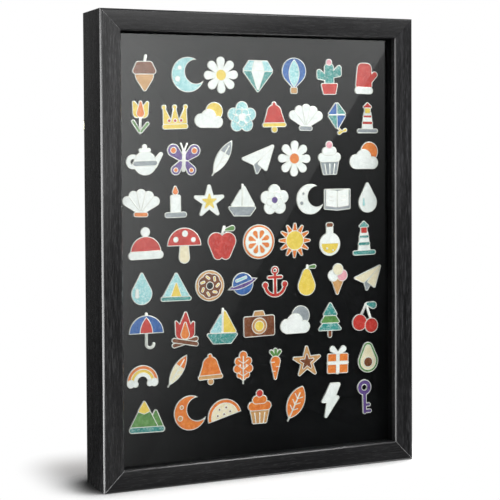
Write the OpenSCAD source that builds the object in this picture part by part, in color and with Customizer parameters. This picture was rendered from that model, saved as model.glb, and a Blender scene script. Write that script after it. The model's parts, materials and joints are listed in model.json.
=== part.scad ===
// Enamel pin display case: a deep mitred box frame, glazed at the front, with
// a cloth-faced foam board full of enamel pins. The board is held from behind
// by turn buttons whose tongues swing into a groove around the frame.
//
// X runs to the right, Y from the glazed front to the back and Z up.
// The origin is the middle of the footprint, on the surface it stands on.
// All sizes are in millimetres.

/* [Frame] */
// Overall width of the frame
frame_w = 310; // [290:1:350]
// Overall height of the frame
frame_h = 420; // [400:1:460]
// Depth of the moulding, front to back
frame_d = 50; // [44:0.5:60]
// Width of the moulding's front face
face_w = 19; // [15:0.5:24]
// How far the front lip reaches in over the glass
lip_w = 4.5; // [3:0.5:6]
// Depth of the front lip, from the front face to the glass
lip_d = 6.8; // [5:0.2:9]
// Chamfer along the moulding's outer front edge
outer_chamfer = 1.6; // [0.6:0.1:2]
// Chamfer along the front edge beside the opening
inner_chamfer = 1.2; // [0.4:0.1:2]
// Small broken edge along the back of the moulding
back_arris = 0.8; // [0.3:0.1:1.5]

/* [Glass and spacers] */
// Thickness of the glass
glass_t = 2; // [1.5:0.1:3]
// Clearance around the glass in the rabbet
glass_play = 0.5; // [0.2:0.1:1]
// Thickness of the spacer strips
spacer_t = 4; // [2.5:0.1:4.5]
// Depth of the spacer strips, which sets the room for the pins
spacer_d = 7.4; // [5:0.1:10]

/* [Pin board] */
// Thickness of the cloth on the board
cloth_t = 0.8; // [0.5:0.1:1.5]
// Thickness of the foam that grips the pins' posts
foam_t = 12; // [10:0.5:15]
// Thickness of the hardboard back panel
panel_t = 3; // [2.5:0.1:4]
// Clearance around the board in the rabbet
board_play = 0.6; // [0.3:0.1:1.2]

/* [Turn buttons] */
// Thickness of a turn button
button_t = 1.2; // [0.8:0.1:1.6]
// Length from the rivet to the centre of the rounded tip
button_reach = 15; // [12:0.5:18]
// Radius of the button around its rivet
button_eye_r = 6; // [5:0.5:7]
// Radius of the button's tip
button_tip_r = 3.5; // [2.5:0.1:4]
// Height of the upturned thumb tab
button_tab_h = 4; // [3:0.1:6]
// How far the tip reaches into the groove
button_bite = 2.2; // [1.5:0.1:2.4]
// Depth of the groove in the frame
groove_d = 3; // [2.8:0.1:4]
// Room between the button and each side of the groove
groove_play = 0.35; // [0.3:0.05:0.6]
// Gap between a button and the panel, and between a button and its rivet's head
button_gap = 0.2; // [0.1:0.05:0.3]
// Radius of the rivets' shanks
rivet_r = 1.6; // [1.2:0.1:2]
// Radius of the rivets' domed heads
rivet_head_r = 3.6; // [3:0.1:4.5]
// Height of the rivets' domed heads
rivet_head_h = 1.5; // [1:0.1:2]
// Running clearance of a turning piece on its pin, on the radius
turn_play = 0.06; // [0.03:0.01:0.1]

/* [Hangers] */
// Distance of the hangers' rings below the top of the frame
hanger_drop = 96; // [60:1:150]
// Thickness of the hangers' straps
strap_t = 1; // [0.8:0.1:1.5]
// Distance from the frame's side to the middle of a hanger
hanger_inset = 7; // [6.9:0.1:8]
// Width of the hangers' straps
strap_w = 8; // [6:0.5:8.5]
// Length of a strap below its ring
strap_len = 21; // [18:0.5:30]
// Radius of the rings' wire
wire_r = 1.1; // [0.8:0.1:1.4]
// Half width of a ring, to the middle of its wire
ring_half_w = 5.6; // [5.4:0.1:5.7]
// Straight part of a ring's sides
ring_leg = 5.5; // [4.5:0.5:9]
// Gap between a hanging ring and its strap
ring_gap = 0.35; // [0.3:0.05:0.6]
// Radius of the hanger screws' shanks
screw_r = 1.5; // [1.2:0.1:1.8]
// Length of the hanger screws' shanks under the head
screw_len = 12; // [8:1:16]
// Radius of the hanger screws' heads
screw_head_r = 2.9; // [2.4:0.1:3.4]
// Height of the hanger screws' heads
screw_head_h = 1.9; // [1.4:0.1:2.2]
// Radius of the rubber wall bumpers
bumper_r = 5; // [4:0.5:6]
// Height of the rubber wall bumpers
bumper_h = 4.8; // [4.7:0.1:8]

/* [Corner fasteners] */
// Length of each leg of a V-nail
nail_leg = 4; // [3:0.1:4.5]
// Thickness of a V-nail
nail_t = 0.6; // [0.4:0.1:1]
// Depth of a V-nail in the moulding
nail_d = 10; // [7:0.5:15]

/* [Enamel pins] */
// Height of a pin in the rows of seven
pin_size = 35; // [28:0.5:35.5]
// Height of a pin in the rows of eight
small_pin_size = 31.5; // [26:0.5:31.5]
// Thickness of a pin's struck metal
pin_t = 1.6; // [1.2:0.1:2.5]
// Depth of the enamel in the metal
enamel_d = 0.6; // [0.4:0.1:1]
// How far the enamel stays below the metal lines
enamel_dip = 0.1; // [0:0.05:0.3]
// Width of the metal line around each field of enamel
rim_w = 0.68; // [0.4:0.01:0.8]
// Radius of a pin's post
post_r = 0.6; // [0.5:0.05:0.8]
// Length of a pin's post behind the metal
post_len = 9; // [7:0.5:9.5]
// Distance from the opening's top edge to the middle of the first row
row_top = 36; // [30:0.5:42]
// Distance between two rows
row_pitch = 38; // [36:0.5:40]
// Distance from the opening's side to the middle of the first pin of seven
col_side = 26; // [22:0.5:30]
// The same distance in the rows of eight
small_col_side = 22; // [18:0.5:26]
// Largest lean of a pin from upright, in degrees
hand_lean = 1.6; // [0:0.2:4]

/* [Hidden] */
$fn = 48;
eps = 0.01;
over = 1;

// The frame and what protrudes behind it set the depth of the footprint
eye_r = wire_r + turn_play + strap_t;
ring_out = strap_t + ring_gap + wire_r;
total_d = frame_d + max(bumper_h, ring_out + eye_r);
front_y = -total_d / 2;
frame_back_y = front_y + frame_d;
mid_z = frame_h / 2;

// The moulding's wall behind the lip, and the hollow that it encloses
wall_t = face_w - lip_w;
rabbet_w = frame_w - 2 * wall_t;
rabbet_h = frame_h - 2 * wall_t;
opening_w = frame_w - 2 * face_w;
opening_h = frame_h - 2 * face_w;

// The stack behind the lip, front to back
glass_y = front_y + lip_d;
spacer_y = glass_y + glass_t;
cloth_y = spacer_y + spacer_d;
foam_y = cloth_y + cloth_t;
panel_y = foam_y + foam_t;
panel_back_y = panel_y + panel_t;

board_w = rabbet_w - 2 * board_play;
board_h = rabbet_h - 2 * board_play;

// Turn buttons on the back of the panel, and the groove that takes their tips
button_y = panel_back_y + button_gap;
groove_y0 = button_y - groove_play;
groove_y1 = button_y + button_t + groove_play;
button_inset = button_reach + button_tip_r - button_bite;
button_x = rabbet_w / 2 - button_inset;
button_z = rabbet_h / 2 - button_inset;
button_span_x = rabbet_w * 0.52;
button_span_z = rabbet_h * 0.5;
rivet_tail_r = rivet_r + 1.2;
rivet_tail_h = 0.8;

// Each button: where its rivet is from the middle of the panel, and where
// its tip points when it is closed
BUTTONS = [
    [[-button_span_x / 2, button_z], 90],
    [[button_span_x / 2, button_z], 90],
    [[-button_span_x / 2, -button_z], -90],
    [[button_span_x / 2, -button_z], -90],
    [[-button_x, button_span_z / 2], 180],
    [[-button_x, -button_span_z / 2], 180],
    [[button_x, button_span_z / 2], 0],
    [[button_x, -button_span_z / 2], 0]
];

// Hangers on the backs of the stiles
hanger_x = frame_w / 2 - hanger_inset;
hanger_z = frame_h - hanger_drop;
ring_y = frame_back_y + ring_out;
screw_drop = (eye_r + ring_leg + ring_half_w - wire_r) / 2;
bumper_inset = wall_t / 2;

// Corner fasteners lie on the mitre lines, at thirds of the wall
nail_at = [wall_t / 3, wall_t * 2 / 3];

// Enamel pins
MOTIF_GRID = 30;
ROWS = 9;
pin_back_y = cloth_y;
post_play = 0.02;
side_step = 0.02;

// ---------------------------------------------------------------- helpers

// Lays a shape drawn in the front view, X by Z, and gives it a depth.
// Its near face is at y and the shape reaches d further back.
module front_view(y, d) {
    translate([0, y + d, 0]) rotate([90, 0, 0]) linear_extrude(d) children();
}

// The same, with the drawing's centre at the middle of the frame
module framed_view(y, d) {
    translate([0, 0, mid_z]) front_view(y, d) children();
}

// A square bar between two depths, centred on the frame
module slab(w, h, y, d) {
    framed_view(y, d) square([w, h], center = true);
}

function unit(v) = v / norm(v);
function right_of(a, b) = let (d = unit(b - a)) [d[1], -d[0]];

// ----------------------------------------------------------------- frame

// Section of the moulding: first number from front to back, second from
// the outside of the frame inwards
module moulding_section() {
    groove_at = [groove_y0 - front_y, groove_y1 - front_y];
    polygon([
        [0, outer_chamfer],
        [outer_chamfer, 0],
        [frame_d - back_arris, 0],
        [frame_d, back_arris],
        [frame_d, wall_t - back_arris],
        [frame_d - back_arris, wall_t],
        [groove_at[1], wall_t],
        [groove_at[1], wall_t - groove_d],
        [groove_at[0], wall_t - groove_d],
        [groove_at[0], wall_t],
        [lip_d, wall_t],
        [lip_d, face_w],
        [inner_chamfer, face_w],
        [0, face_w - inner_chamfer]
    ]);
}

// One side of the frame, mitred at both ends. It lies along X below the
// middle of the frame, at the given distance to its outer face.
module moulding(length, distance) {
    translate([0, 0, -distance])
        intersection() {
            translate([0, front_y, 0])
                rotate([90, 0, 90])
                    linear_extrude(length, center = true) moulding_section();
            front_view(front_y - over, frame_d + 2 * over)
                polygon([
                    [-length / 2, 0],
                    [length / 2, 0],
                    [length / 2 - face_w, face_w],
                    [face_w - length / 2, face_w]
                ]);
        }
}

// One V-nail across the mitre, seen from behind, its bend on the mitre line
module v_nail_outline() {
    t = nail_t / 2;
    for (turn = [0, 90])
        rotate(turn) translate([-t, -t]) square([nail_leg + t, nail_t]);
}

// All V-nails, two in each corner, driven in flush with the back
module v_nail_set(depth) {
    framed_view(frame_back_y - nail_d, depth)
        for (sx = [-1, 1], sz = [-1, 1])
            translate([sx * frame_w / 2, sz * frame_h / 2])
                mirror([sx > 0 ? 1 : 0, 0])
                    mirror([0, sz > 0 ? 1 : 0])
                        for (s = nail_at) translate([s, s]) v_nail_outline();
}

module frame_side(length, distance, turn) {
    difference() {
        translate([0, 0, mid_z]) rotate([0, turn, 0]) moulding(length, distance);
        v_nail_set(nail_d + over);
        hanger_screw_holes();
    }
}

module top_rail() {
    color("#303030") frame_side(frame_w, frame_h / 2, 180);
}

module bottom_rail() {
    color("#262626") frame_side(frame_w, frame_h / 2, 0);
}

module left_stile() {
    color("#2c2c2c") frame_side(frame_h, frame_w / 2, 90);
}

module right_stile() {
    color("#2c2c2c") frame_side(frame_h, frame_w / 2, -90);
}

module corner_v_nails() {
    color("#9a9a98") v_nail_set(nail_d);
}

// ------------------------------------------------------ glass and spacers

module glazing() {
    color("#b8c4c8", 0.3)
        slab(rabbet_w - 2 * glass_play, rabbet_h - 2 * glass_play, glass_y, glass_t);
}

// A spacer strip along the top or the bottom, full width
module long_spacer(side) {
    color("#1b1b1b")
        framed_view(spacer_y, spacer_d)
            translate([0, side * (rabbet_h - spacer_t) / 2])
                square([rabbet_w, spacer_t], center = true);
}

// A spacer strip up one side, between the long ones
module side_spacer(side) {
    color("#1b1b1b")
        framed_view(spacer_y, spacer_d)
            translate([side * (rabbet_w - spacer_t) / 2, 0])
                square([spacer_t, rabbet_h - 2 * spacer_t], center = true);
}

module spacer_top() {
    long_spacer(1);
}

module spacer_bottom() {
    long_spacer(-1);
}

module spacer_left() {
    side_spacer(-1);
}

module spacer_right() {
    side_spacer(1);
}

// ------------------------------------------------------------- pin board

// A hole for every pin's post
module post_holes() {
    for (row = [1 : ROWS])
        pin_row(row)
            translate([0, 0, -post_len - over])
                cylinder(h = post_len + 2 * over, r = post_r + post_play);
}

// Cloth over the front of the foam, turned back along its four edges
module pin_cloth() {
    color("#141414")
        difference() {
            slab(board_w, board_h, cloth_y, cloth_t + foam_t);
            slab(board_w - 2 * cloth_t, board_h - 2 * cloth_t, foam_y, foam_t + over);
            post_holes();
        }
}

module foam_board() {
    color("#3c3c3e")
        difference() {
            slab(board_w - 2 * cloth_t, board_h - 2 * cloth_t, foam_y, foam_t);
            post_holes();
        }
}

// Places something at each turn button, with its X axis towards the tip
// and its Z axis out of the back
module at_button(i) {
    place = BUTTONS[i];
    translate([place[0][0], button_y, mid_z + place[0][1]])
        rotate([0, -place[1], 0]) rotate([-90, 0, 0]) children();
}

// Hardboard panel behind the foam, with a countersunk hole for each rivet
module back_panel() {
    color("#4a3a2c")
        difference() {
            slab(board_w, board_h, panel_y, panel_t);
            for (i = [0 : len(BUTTONS) - 1])
                at_button(i) {
                    translate([0, 0, -button_gap - panel_t - over])
                        cylinder(h = panel_t + 2 * over, r = rivet_r);
                    translate([0, 0, -button_gap - panel_t - over])
                        cylinder(h = rivet_tail_h + over, r = rivet_tail_r);
                }
        }
}

// ---------------------------------------------------------- turn buttons

// Flat outline of a button, from its eye to its rounded tip
module button_outline() {
    lean = (button_eye_r - button_tip_r) / button_reach;
    wide = sqrt(1 - lean * lean);
    circle(r = button_eye_r);
    translate([button_reach, 0]) circle(r = button_tip_r);
    polygon([
        button_eye_r * [lean, -wide],
        [button_reach, 0] + button_tip_r * [lean, -wide],
        [button_reach, 0] + button_tip_r * [lean, wide],
        button_eye_r * [lean, wide]
    ]);
}

// A stamped button with its thumb tab turned up behind the eye
module turn_button(i) {
    tab_w = button_eye_r * 1.4;
    tab_x = -button_eye_r - 2;
    color("#b9bcbe")
        at_button(i)
            difference() {
                union() {
                    linear_extrude(button_t) {
                        button_outline();
                        translate([tab_x, -tab_w / 2]) square([-tab_x, tab_w]);
                    }
                    translate([tab_x, -tab_w / 2, 0])
                        rotate([90, 0, 90]) linear_extrude(button_t) thumb_tab(tab_w);
                }
                translate([0, 0, -over])
                    cylinder(h = button_t + 2 * over, r = rivet_r + turn_play);
            }
}

// Upright face of the thumb tab, with rounded upper corners
module thumb_tab(w) {
    r = button_tab_h / 2;
    square([w, button_tab_h - r]);
    translate([r, button_tab_h - r]) circle(r = r);
    translate([w - r, button_tab_h - r]) circle(r = r);
    translate([r, 0]) square([w - 2 * r, button_tab_h]);
}

// Domed rivets that the buttons turn on, set flush in front of the panel
module button_rivets() {
    shank = button_t + 2 * button_gap + panel_t;
    color("#a4a7a9")
        for (i = [0 : len(BUTTONS) - 1])
            at_button(i)
                rotate_extrude()
                    difference() {
                        union() {
                            translate([0, -button_gap - panel_t]) square([rivet_r, shank]);
                            translate([0, -button_gap - panel_t])
                                square([rivet_tail_r, rivet_tail_h]);
                            translate([0, button_t + button_gap]) dome(rivet_head_r, rivet_head_h);
                        }
                        translate([-over, -2 * panel_t]) square([over, 6 * panel_t]);
                    }
}

// Half section of a shallow dome, to be revolved about the Y axis
module dome(r, h) {
    big = (r * r + h * h) / (2 * h);
    intersection() {
        translate([0, h - big]) circle(r = big, $fn = 96);
        square([r, h]);
    }
}

// --------------------------------------------------------------- hangers

// Places something on the back of a stile, at the middle of the ring's pin
module at_hanger(side) {
    translate([side * hanger_x, ring_y, hanger_z]) children();
}

// Shank holes for the hanger screws, in the backs of the stiles
module hanger_screw_holes() {
    for (side = [-1, 1])
        translate([side * hanger_x, frame_back_y - screw_len, hanger_z - screw_drop])
            rotate([-90, 0, 0]) cylinder(h = screw_len + over, r = screw_r);
}

// Outline of the strap seen from behind: square at the eye, round below
module strap_outline() {
    half = strap_w / 2;
    translate([-half, half - strap_len]) square([strap_w, strap_len - half]);
    translate([0, half - strap_len]) circle(r = half);
}

// Strap rolled around the ring's pin, with a hole for its screw
module hanger_strap(side) {
    color("#b4b19f")
        difference() {
            union() {
                translate([side * hanger_x, 0, hanger_z])
                    front_view(frame_back_y, strap_t) strap_outline();
                at_hanger(side)
                    rotate([0, 90, 0]) cylinder(h = strap_w, r = eye_r, center = true);
            }
            at_hanger(side)
                rotate([0, 90, 0])
                    cylinder(h = strap_w + 2 * over, r = wire_r + turn_play, center = true);
            translate([side * hanger_x, frame_back_y - over, hanger_z - screw_drop])
                rotate([-90, 0, 0]) cylinder(h = strap_t + 2 * over, r = screw_r);
        }
}

// Wire ring of D shape, hanging down from its straight pin
module hanger_ring(side) {
    color("#b4b19f")
        at_hanger(side) {
            rotate([0, 90, 0]) cylinder(h = 2 * ring_half_w, r = wire_r, center = true);
            for (s = [-1, 1])
                translate([s * ring_half_w, 0, 0]) {
                    sphere(r = wire_r);
                    translate([0, 0, -ring_leg]) cylinder(h = ring_leg, r = wire_r);
                }
            translate([0, 0, -ring_leg])
                rotate([-90, 0, 0])
                    rotate_extrude(angle = 180) translate([ring_half_w, 0]) circle(r = wire_r);
        }
}

// Dome-headed screws through the straps
module hanger_screws() {
    color("#b4b19f")
        for (side = [-1, 1])
            translate([side * hanger_x, frame_back_y + strap_t, hanger_z - screw_drop])
                rotate([-90, 0, 0])
                    rotate_extrude() {
                        translate([0, -strap_t - screw_len]) square([screw_r, strap_t + screw_len + eps]);
                        dome(screw_head_r, screw_head_h);
                    }
}

// Rubber bumpers that keep the bottom of the case off the wall
module wall_bumpers() {
    color("#1e1e1e")
        for (side = [-1, 1])
            translate([side * (frame_w / 2 - bumper_inset), frame_back_y, bumper_inset])
                rotate([-90, 0, 0])
                    rotate_extrude()
                        polygon([
                            [0, 0],
                            [bumper_r, 0],
                            [bumper_r, bumper_h * 0.35],
                            [bumper_r * 0.86, bumper_h * 0.8],
                            [bumper_r * 0.6, bumper_h],
                            [0, bumper_h]
                        ]);
}

// ------------------------------------------------- drawing a struck pin
//
// A motif is a pile of flat shapes, the lowest first, with one ink for each.
// $grow says how much wider than drawn a shape comes out. $ink says what is
// wanted: "plate" gives the whole outline, "pocket" every field of enamel,
// and the name of an ink only that ink's fields. A shape above cuts its own
// full size out of the fields below, which leaves the metal line between
// them. A shape with the ink "bare" stays polished metal. $rim is the width
// of that line and $hair a hair's width, both in steps of the motif's grid.

module struck(inks) {
    last = $children - 1;
    if ($ink == "plate") {
        let ($grow = 0) children();
    } else {
        for (i = [0 : last])
            if (inks[i] != "bare" && ($ink == "pocket" || $ink == inks[i]))
                difference() {
                    let ($grow = -$rim) children(i);
                    let ($grow = 0) for (above = [i + 1 : 1 : last]) children(above);
                }
    }
}

// A round field
module disc(at, r) {
    translate(at) circle(r = r + $grow);
}

// A convex outline with round corners, its points going anticlockwise.
// Two points make a bar with round ends. The straight sides stand back by a
// hair from the round corners.
module blob(points, r) {
    radius = r + $grow;
    n = len(points);
    polygon([
        for (i = [0 : n - 1])
            let (a = points[i], b = points[(i + 1) % n])
                let (out = (radius - $hair) * right_of(a, b))
                    each [a + out, b + out]
    ]);
    for (p = points) translate(p) circle(r = radius);
}

// Two discs of different radii with straight sides between them
module taper(a, ra, b, rb) {
    along = unit(b - a);
    across = [along[1], -along[0]];
    lean = (ra - rb) / norm(b - a);
    wide = sqrt(1 - lean * lean);
    near_r = ra + $grow;
    far_r = rb + $grow;
    near_side = near_r - $hair;
    far_side = far_r - $hair;
    up = lean * along + wide * across;
    down = lean * along - wide * across;
    polygon([a + near_side * up, b + far_side * up, b + far_side * down, a + near_side * down]);
    translate(a) circle(r = near_r);
    translate(b) circle(r = far_r);
}

// The upper half of a disc, with its flat side down
module half_disc(at, r) {
    intersection() {
        disc(at, r);
        translate(at + [-2 * r, -$grow]) square([4 * r, 2 * r]);
    }
}

// A pointed leaf shape, upright, between two arcs of radius r
module lens(at, r, half_w) {
    intersection() {
        disc(at + [r - half_w, 0], r);
        disc(at - [r - half_w, 0], r);
    }
}

// The lower half of a ring, with round ends
module bow(at, r, half_w) {
    band = half_w + $grow;
    translate(at) {
        difference() {
            circle(r = r + band);
            circle(r = r - band);
            translate([-2 * r, 0]) square([4 * r, 2 * r]);
        }
        for (s = [-1, 1]) translate([s * r, 0]) circle(r = band - $hair);
    }
}

// ---------------------------------------------------------------- motifs
//
// Each is drawn on a grid of MOTIF_GRID steps a side, around the middle of
// its pin.

module cloud(sun, puff) {
    struck([sun, puff]) {
        disc([5, 5], 8);
        union() {
            disc([-7, -3], 6);
            disc([0, 0], 7);
            disc([8, -4], 5.2);
            blob([[-7, -6], [8, -6]], 3.2);
        }
    }
}

module daisy(petal, eye) {
    struck([petal, eye]) {
        for (i = [0 : 7]) rotate(45 * i) taper([4, 0], 2, [10.8, 0], 3.4);
        disc([0, 0], 4.6);
    }
}

module blossom(petal, eye) {
    struck([petal, petal, "bare", eye]) {
        for (i = [0 : 4]) rotate(18 + 72 * i) disc([8, 0], 5.8);
        for (i = [0 : 4]) rotate(54 + 72 * i) disc([5, 0], 3.4);
        for (i = [0 : 4]) rotate(18 + 72 * i) blob([[4, 0], [8.5, 0]], 0.45);
        disc([0, 0], 3.4);
    }
}

module crescent(shine, crater) {
    struck([shine, crater]) {
        difference() {
            disc([4, 0], 13.5);
            disc([10.5, 2.5], 9.2 - 2 * $grow);
        }
        union() {
            disc([-4.5, -3.5], 2.2);
            disc([-3, 5], 1.7);
        }
    }
}

module five_point(size, r) {
    for (i = [0 : 4])
        rotate(90 + 72 * i)
            blob([[0, -size * 0.3], [size, 0], [0, size * 0.3], [-1, 0]], r);
}

module star(outer, inner) {
    struck([outer, inner]) {
        five_point(13, 1.6);
        five_point(6.2, 1.3);
    }
}

module rainbow(outer, middle, inner, puff) {
    struck([outer, middle, inner, puff]) {
        rainbow_arch(14);
        rainbow_arch(11);
        rainbow_arch(8);
        union() {
            for (s = [-1, 1]) {
                disc([s * 10.5, -7], 3.6);
                disc([s * 6.5, -7.5], 2.8);
            }
        }
    }
}

module rainbow_arch(r) {
    difference() {
        half_disc([0, -6], r);
        disc([0, -6], 4.6 - 2 * $grow);
    }
}

module sun(ray, face) {
    struck([ray, face]) {
        for (i = [0 : 11]) rotate(30 * i) taper([8, 0], 2.2, [12.8, 0], 1.3);
        disc([0, 0], 8);
    }
}

module leaf(blade) {
    struck([blade, "bare"]) {
        rotate(-28) lens([0, 1], 17, 7.5);
        rotate(-28) {
            blob([[0, -15], [0, 9]], 0.6);
            for (y = [-6, -1, 4], s = [-1, 1]) blob([[0, y], [s * 3.6, y + 3]], 0.4);
        }
    }
}

module oak_leaf(blade) {
    struck([blade, "bare"]) {
        union() {
            disc([0, 10], 4);
            for (s = [-1, 1]) {
                disc([s * 4.6, 5], 3.8);
                disc([s * 5.4, -1.5], 4);
                disc([s * 3.4, -7], 3);
            }
            blob([[0, -9], [0, 8]], 3);
        }
        union() {
            blob([[0, -14.5], [0, 9]], 0.65);
            for (s = [-1, 1], y = [-6, 0, 5]) blob([[0, y - 2], [s * 4.6, y + 1]], 0.4);
        }
    }
}

module acorn(cup, nut) {
    struck([nut, "bare", cup]) {
        taper([0, -1], 7.6, [0, -11.5], 1.8);
        blob([[0, 7], [1.2, 13.5]], 1.1);
        blob([[-7, 2], [7, 2], [4.5, 7], [-4.5, 7]], 2.6);
    }
}

module mushroom(cap, spot, stem) {
    struck([stem, cap, spot]) {
        taper([0, 0], 3.6, [0, -10], 4.6);
        half_disc([0, -1], 14);
        union() {
            disc([-7, 4], 2.2);
            disc([0.5, 8.4], 2.5);
            disc([7.4, 3.6], 2);
        }
    }
}

module cactus(body, pot, flower) {
    struck([body, flower, pot]) {
        union() {
            blob([[0, -6], [0, 7]], 4.4);
            blob([[-9, 4], [-9, 0], [-3, -1]], 2.3);
            blob([[9, 7], [3, 1], [9, 2]], 2.3);
        }
        disc([0, 11.5], 2.8);
        blob([[-4.6, -13], [4.6, -13], [6.2, -6.5], [-6.2, -6.5]], 1.4);
    }
}

module sailboat(hull, sail, jib) {
    struck(["bare", sail, jib, hull]) {
        blob([[0, -8], [0, 13.8]], 1);
        blob([[1.6, -3.6], [10.5, -3.6], [1.6, 11.5]], 1.4);
        blob([[-9, -3.6], [-1.6, -3.6], [-1.6, 8.5]], 1.4);
        blob([[-7, -12], [7, -12], [11.5, -6.2], [-11.5, -6.2]], 1.5);
    }
}

module anchor(iron) {
    struck([iron]) {
        union() {
            blob([[0, -11], [0, 8]], 1.9);
            difference() {
                disc([0, 10.5], 3.9);
                disc([0, 10.5], 1.2 - 2 * $grow);
            }
            blob([[-6, 4.5], [6, 4.5]], 1.8);
            bow([0, -2], 9.4, 1.9);
            for (s = [-1, 1]) translate([s * 9.4, -2]) disc([0, 0], 3.1);
        }
    }
}

module balloon(outer, stripe, basket) {
    struck([outer, stripe, basket]) {
        taper([0, 4], 10.6, [0, -7], 2.6);
        lens([0, 2.2], 15.5, 4.8);
        blob([[-1.8, -12.6], [1.8, -12.6], [1.8, -10], [-1.8, -10]], 1.4);
    }
}

module umbrella(canopy, panel) {
    struck(["bare", canopy, panel]) {
        union() {
            blob([[0, -9], [0, 13.6]], 1.1);
            bow([3, -9.4], 3, 1.1);
        }
        half_disc([0, -1.5], 14);
        intersection() {
            lens([0, -1.5], 18, 5.4);
            half_disc([0, -1.5], 13);
        }
    }
}

module bolt(flash) {
    struck([flash]) {
        union() {
            blob([[-6.4, -0.6], [2, -0.6], [7.4, 12.6], [0.6, 12.6]], 1.5);
            blob([[-3.6, -12.8], [6.6, 2], [-1.4, 2]], 1.5);
        }
    }
}

module drop(water, shine) {
    struck([water, shine]) {
        taper([0, -4], 9.4, [0, 12.4], 1.5);
        taper([-4.2, -6], 1.8, [-4.2, -1], 1.4);
    }
}

module gem(side, crown, table) {
    struck([side, crown, table, table]) {
        blob([[-11.4, 3], [0, -11.6], [11.4, 3]], 1.4);
        blob([[-11.4, 4.6], [11.4, 4.6], [7.4, 10.6], [-7.4, 10.6]], 1.4);
        blob([[-4.4, 3], [0, -10], [4.4, 3]], 1.3);
        blob([[-4.2, 4.8], [4.2, 4.8], [2.6, 10.4], [-2.6, 10.4]], 1.2);
    }
}

module key(brass) {
    struck([brass]) {
        union() {
            difference() {
                disc([0, 8], 6.4);
                disc([0, 8], 2.2 - 2 * $grow);
            }
            blob([[0, -12], [0, 3]], 1.9);
            blob([[0, -11.6], [4.8, -11.6]], 1.7);
            blob([[0, -6.4], [4, -6.4]], 1.6);
        }
    }
}

module ice_cream(cone, left, right, top) {
    struck([cone, left, right, top]) {
        blob([[-5.4, 0], [0, -12.8], [5.4, 0]], 1.4);
        disc([-4.4, 3.2], 5.4);
        disc([4.6, 3.4], 5.4);
        disc([0.2, 8.8], 5.4);
    }
}

module cherries(fruit, leaf_ink) {
    struck(["bare", fruit, fruit, leaf_ink]) {
        union() {
            blob([[-4, 0], [2, 11]], 1);
            blob([[6.5, -3], [2, 11]], 1);
        }
        disc([-4.4, -3.6], 6.8);
        disc([6.4, -6.8], 6.2);
        taper([3.4, 11], 1.6, [8.6, 9.6], 3.2);
    }
}

module citrus(rind, pith, flesh) {
    struck([rind, pith, flesh]) {
        disc([0, 0], 13.6);
        disc([0, 0], 11.6);
        for (i = [0 : 7]) rotate(45 * i + 22.5) taper([3.4, 0], 1.1, [7.6, 0], 2.5);
    }
}

module melon(rind, flesh, seed) {
    struck([rind, flesh, seed]) {
        rotate(16) half_disc([0, -6], 14.4);
        rotate(16) half_disc([0, -6], 11.6);
        for (p = [[-5.5, -3], [0, -3.4], [5.4, -3], [-2.8, 1.4], [3, 1.2]])
            rotate(16) translate(p) disc([0, 0], 1.3);
    }
}

module carrot(root, leaf_ink) {
    struck([leaf_ink, root, "bare"]) {
        for (a = [-38, 0, 38]) translate([0, 6]) rotate(a) taper([0, 0], 1.6, [0, 6.6], 2);
        taper([0, 2.6], 5, [0, -12.2], 1.5);
        union() {
            blob([[-4.6, 2], [-1, 2]], 0.4);
            blob([[4, -2], [0.8, -2]], 0.4);
            blob([[-3, -6], [-0.4, -6]], 0.4);
        }
    }
}

module mountain(rock, snow, grass) {
    struck([rock, rock, snow, grass]) {
        blob([[1, -8], [12.5, -8], [7, 4]], 1.4);
        blob([[-12.5, -8], [8, -8], [-2.4, 11]], 1.4);
        blob([[-6, 5], [-2.4, 3.6], [1, 5], [-2.4, 11]], 1.4);
        blob([[-12, -9.6], [12.4, -9.6]], 2.4);
    }
}

module feather(vane, tip) {
    struck([vane, tip, "bare"]) {
        rotate(-32) lens([0, 2], 25, 5);
        intersection() {
            rotate(-32) lens([0, 2], 25, 5);
            rotate(-32) blob([[-9, 6], [9, 6], [9, 18], [-9, 18]], 1);
        }
        rotate(-32) {
            blob([[0, -14.5], [0, 12]], 0.55);
            for (y = [-3, 1]) blob([[0, y], [3.6, y + 3]], 0.4);
        }
    }
}

module scallop(shell, hinge) {
    struck([shell, "bare", hinge]) {
        for (a = [-52, -26, 0, 26, 52])
            translate([0, -8]) rotate(a) taper([0, 0], 2, [0, 15.6], 4.3);
        for (a = [-39, -13, 13, 39])
            translate([0, -8]) rotate(a) blob([[0, 2], [0, 16.5]], 0.42);
        blob([[-4.4, -9.6], [4.4, -9.6]], 2.2);
    }
}

module planet(ring, globe, band) {
    struck([globe, ring, globe, band]) {
        disc([0, 0], 10);
        rotate(20) intersection() {
            disc([0, 29], 32.6);
            disc([0, -29], 32.6);
        }
        rotate(20) half_disc([0, 0], 10);
        rotate(20) blob([[-4.6, 4.6], [4.4, 4.6]], 1.5);
    }
}

module kite(upper, lower, tail) {
    struck([tail, upper, lower, lower, upper]) {
        union() {
            blob([[0.4, -9], [4.4, -12.6]], 1.1);
            for (s = [-1, 1]) translate([5, -12.6]) taper([0, 0], 1, [s * 3, s * 1.2], 1.9);
        }
        blob([[-7.6, 3.6], [-0.9, 3.6], [-0.9, 12]], 1.3);
        blob([[0.9, 3.6], [7.6, 3.6], [0.9, 12]], 1.3);
        blob([[-7.6, 1.2], [-0.9, -8.6], [-0.9, 1.2]], 1.3);
        blob([[0.9, -8.6], [7.6, 1.2], [0.9, 1.2]], 1.3);
    }
}

module tulip(petal, heart, leaf_ink) {
    struck(["bare", leaf_ink, petal, heart]) {
        blob([[0, -13.4], [0, 3]], 1.1);
        union() {
            taper([-1, -12], 1.5, [-6.4, -4], 1.7);
            taper([1, -12], 1.5, [6.4, -5.5], 1.7);
        }
        for (s = [-1, 1]) taper([s * 2.6, 3.4], 4.6, [s * 6, 11.8], 1.6);
        taper([0, 3], 3.8, [0, 12.2], 1.5);
    }
}

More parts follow.
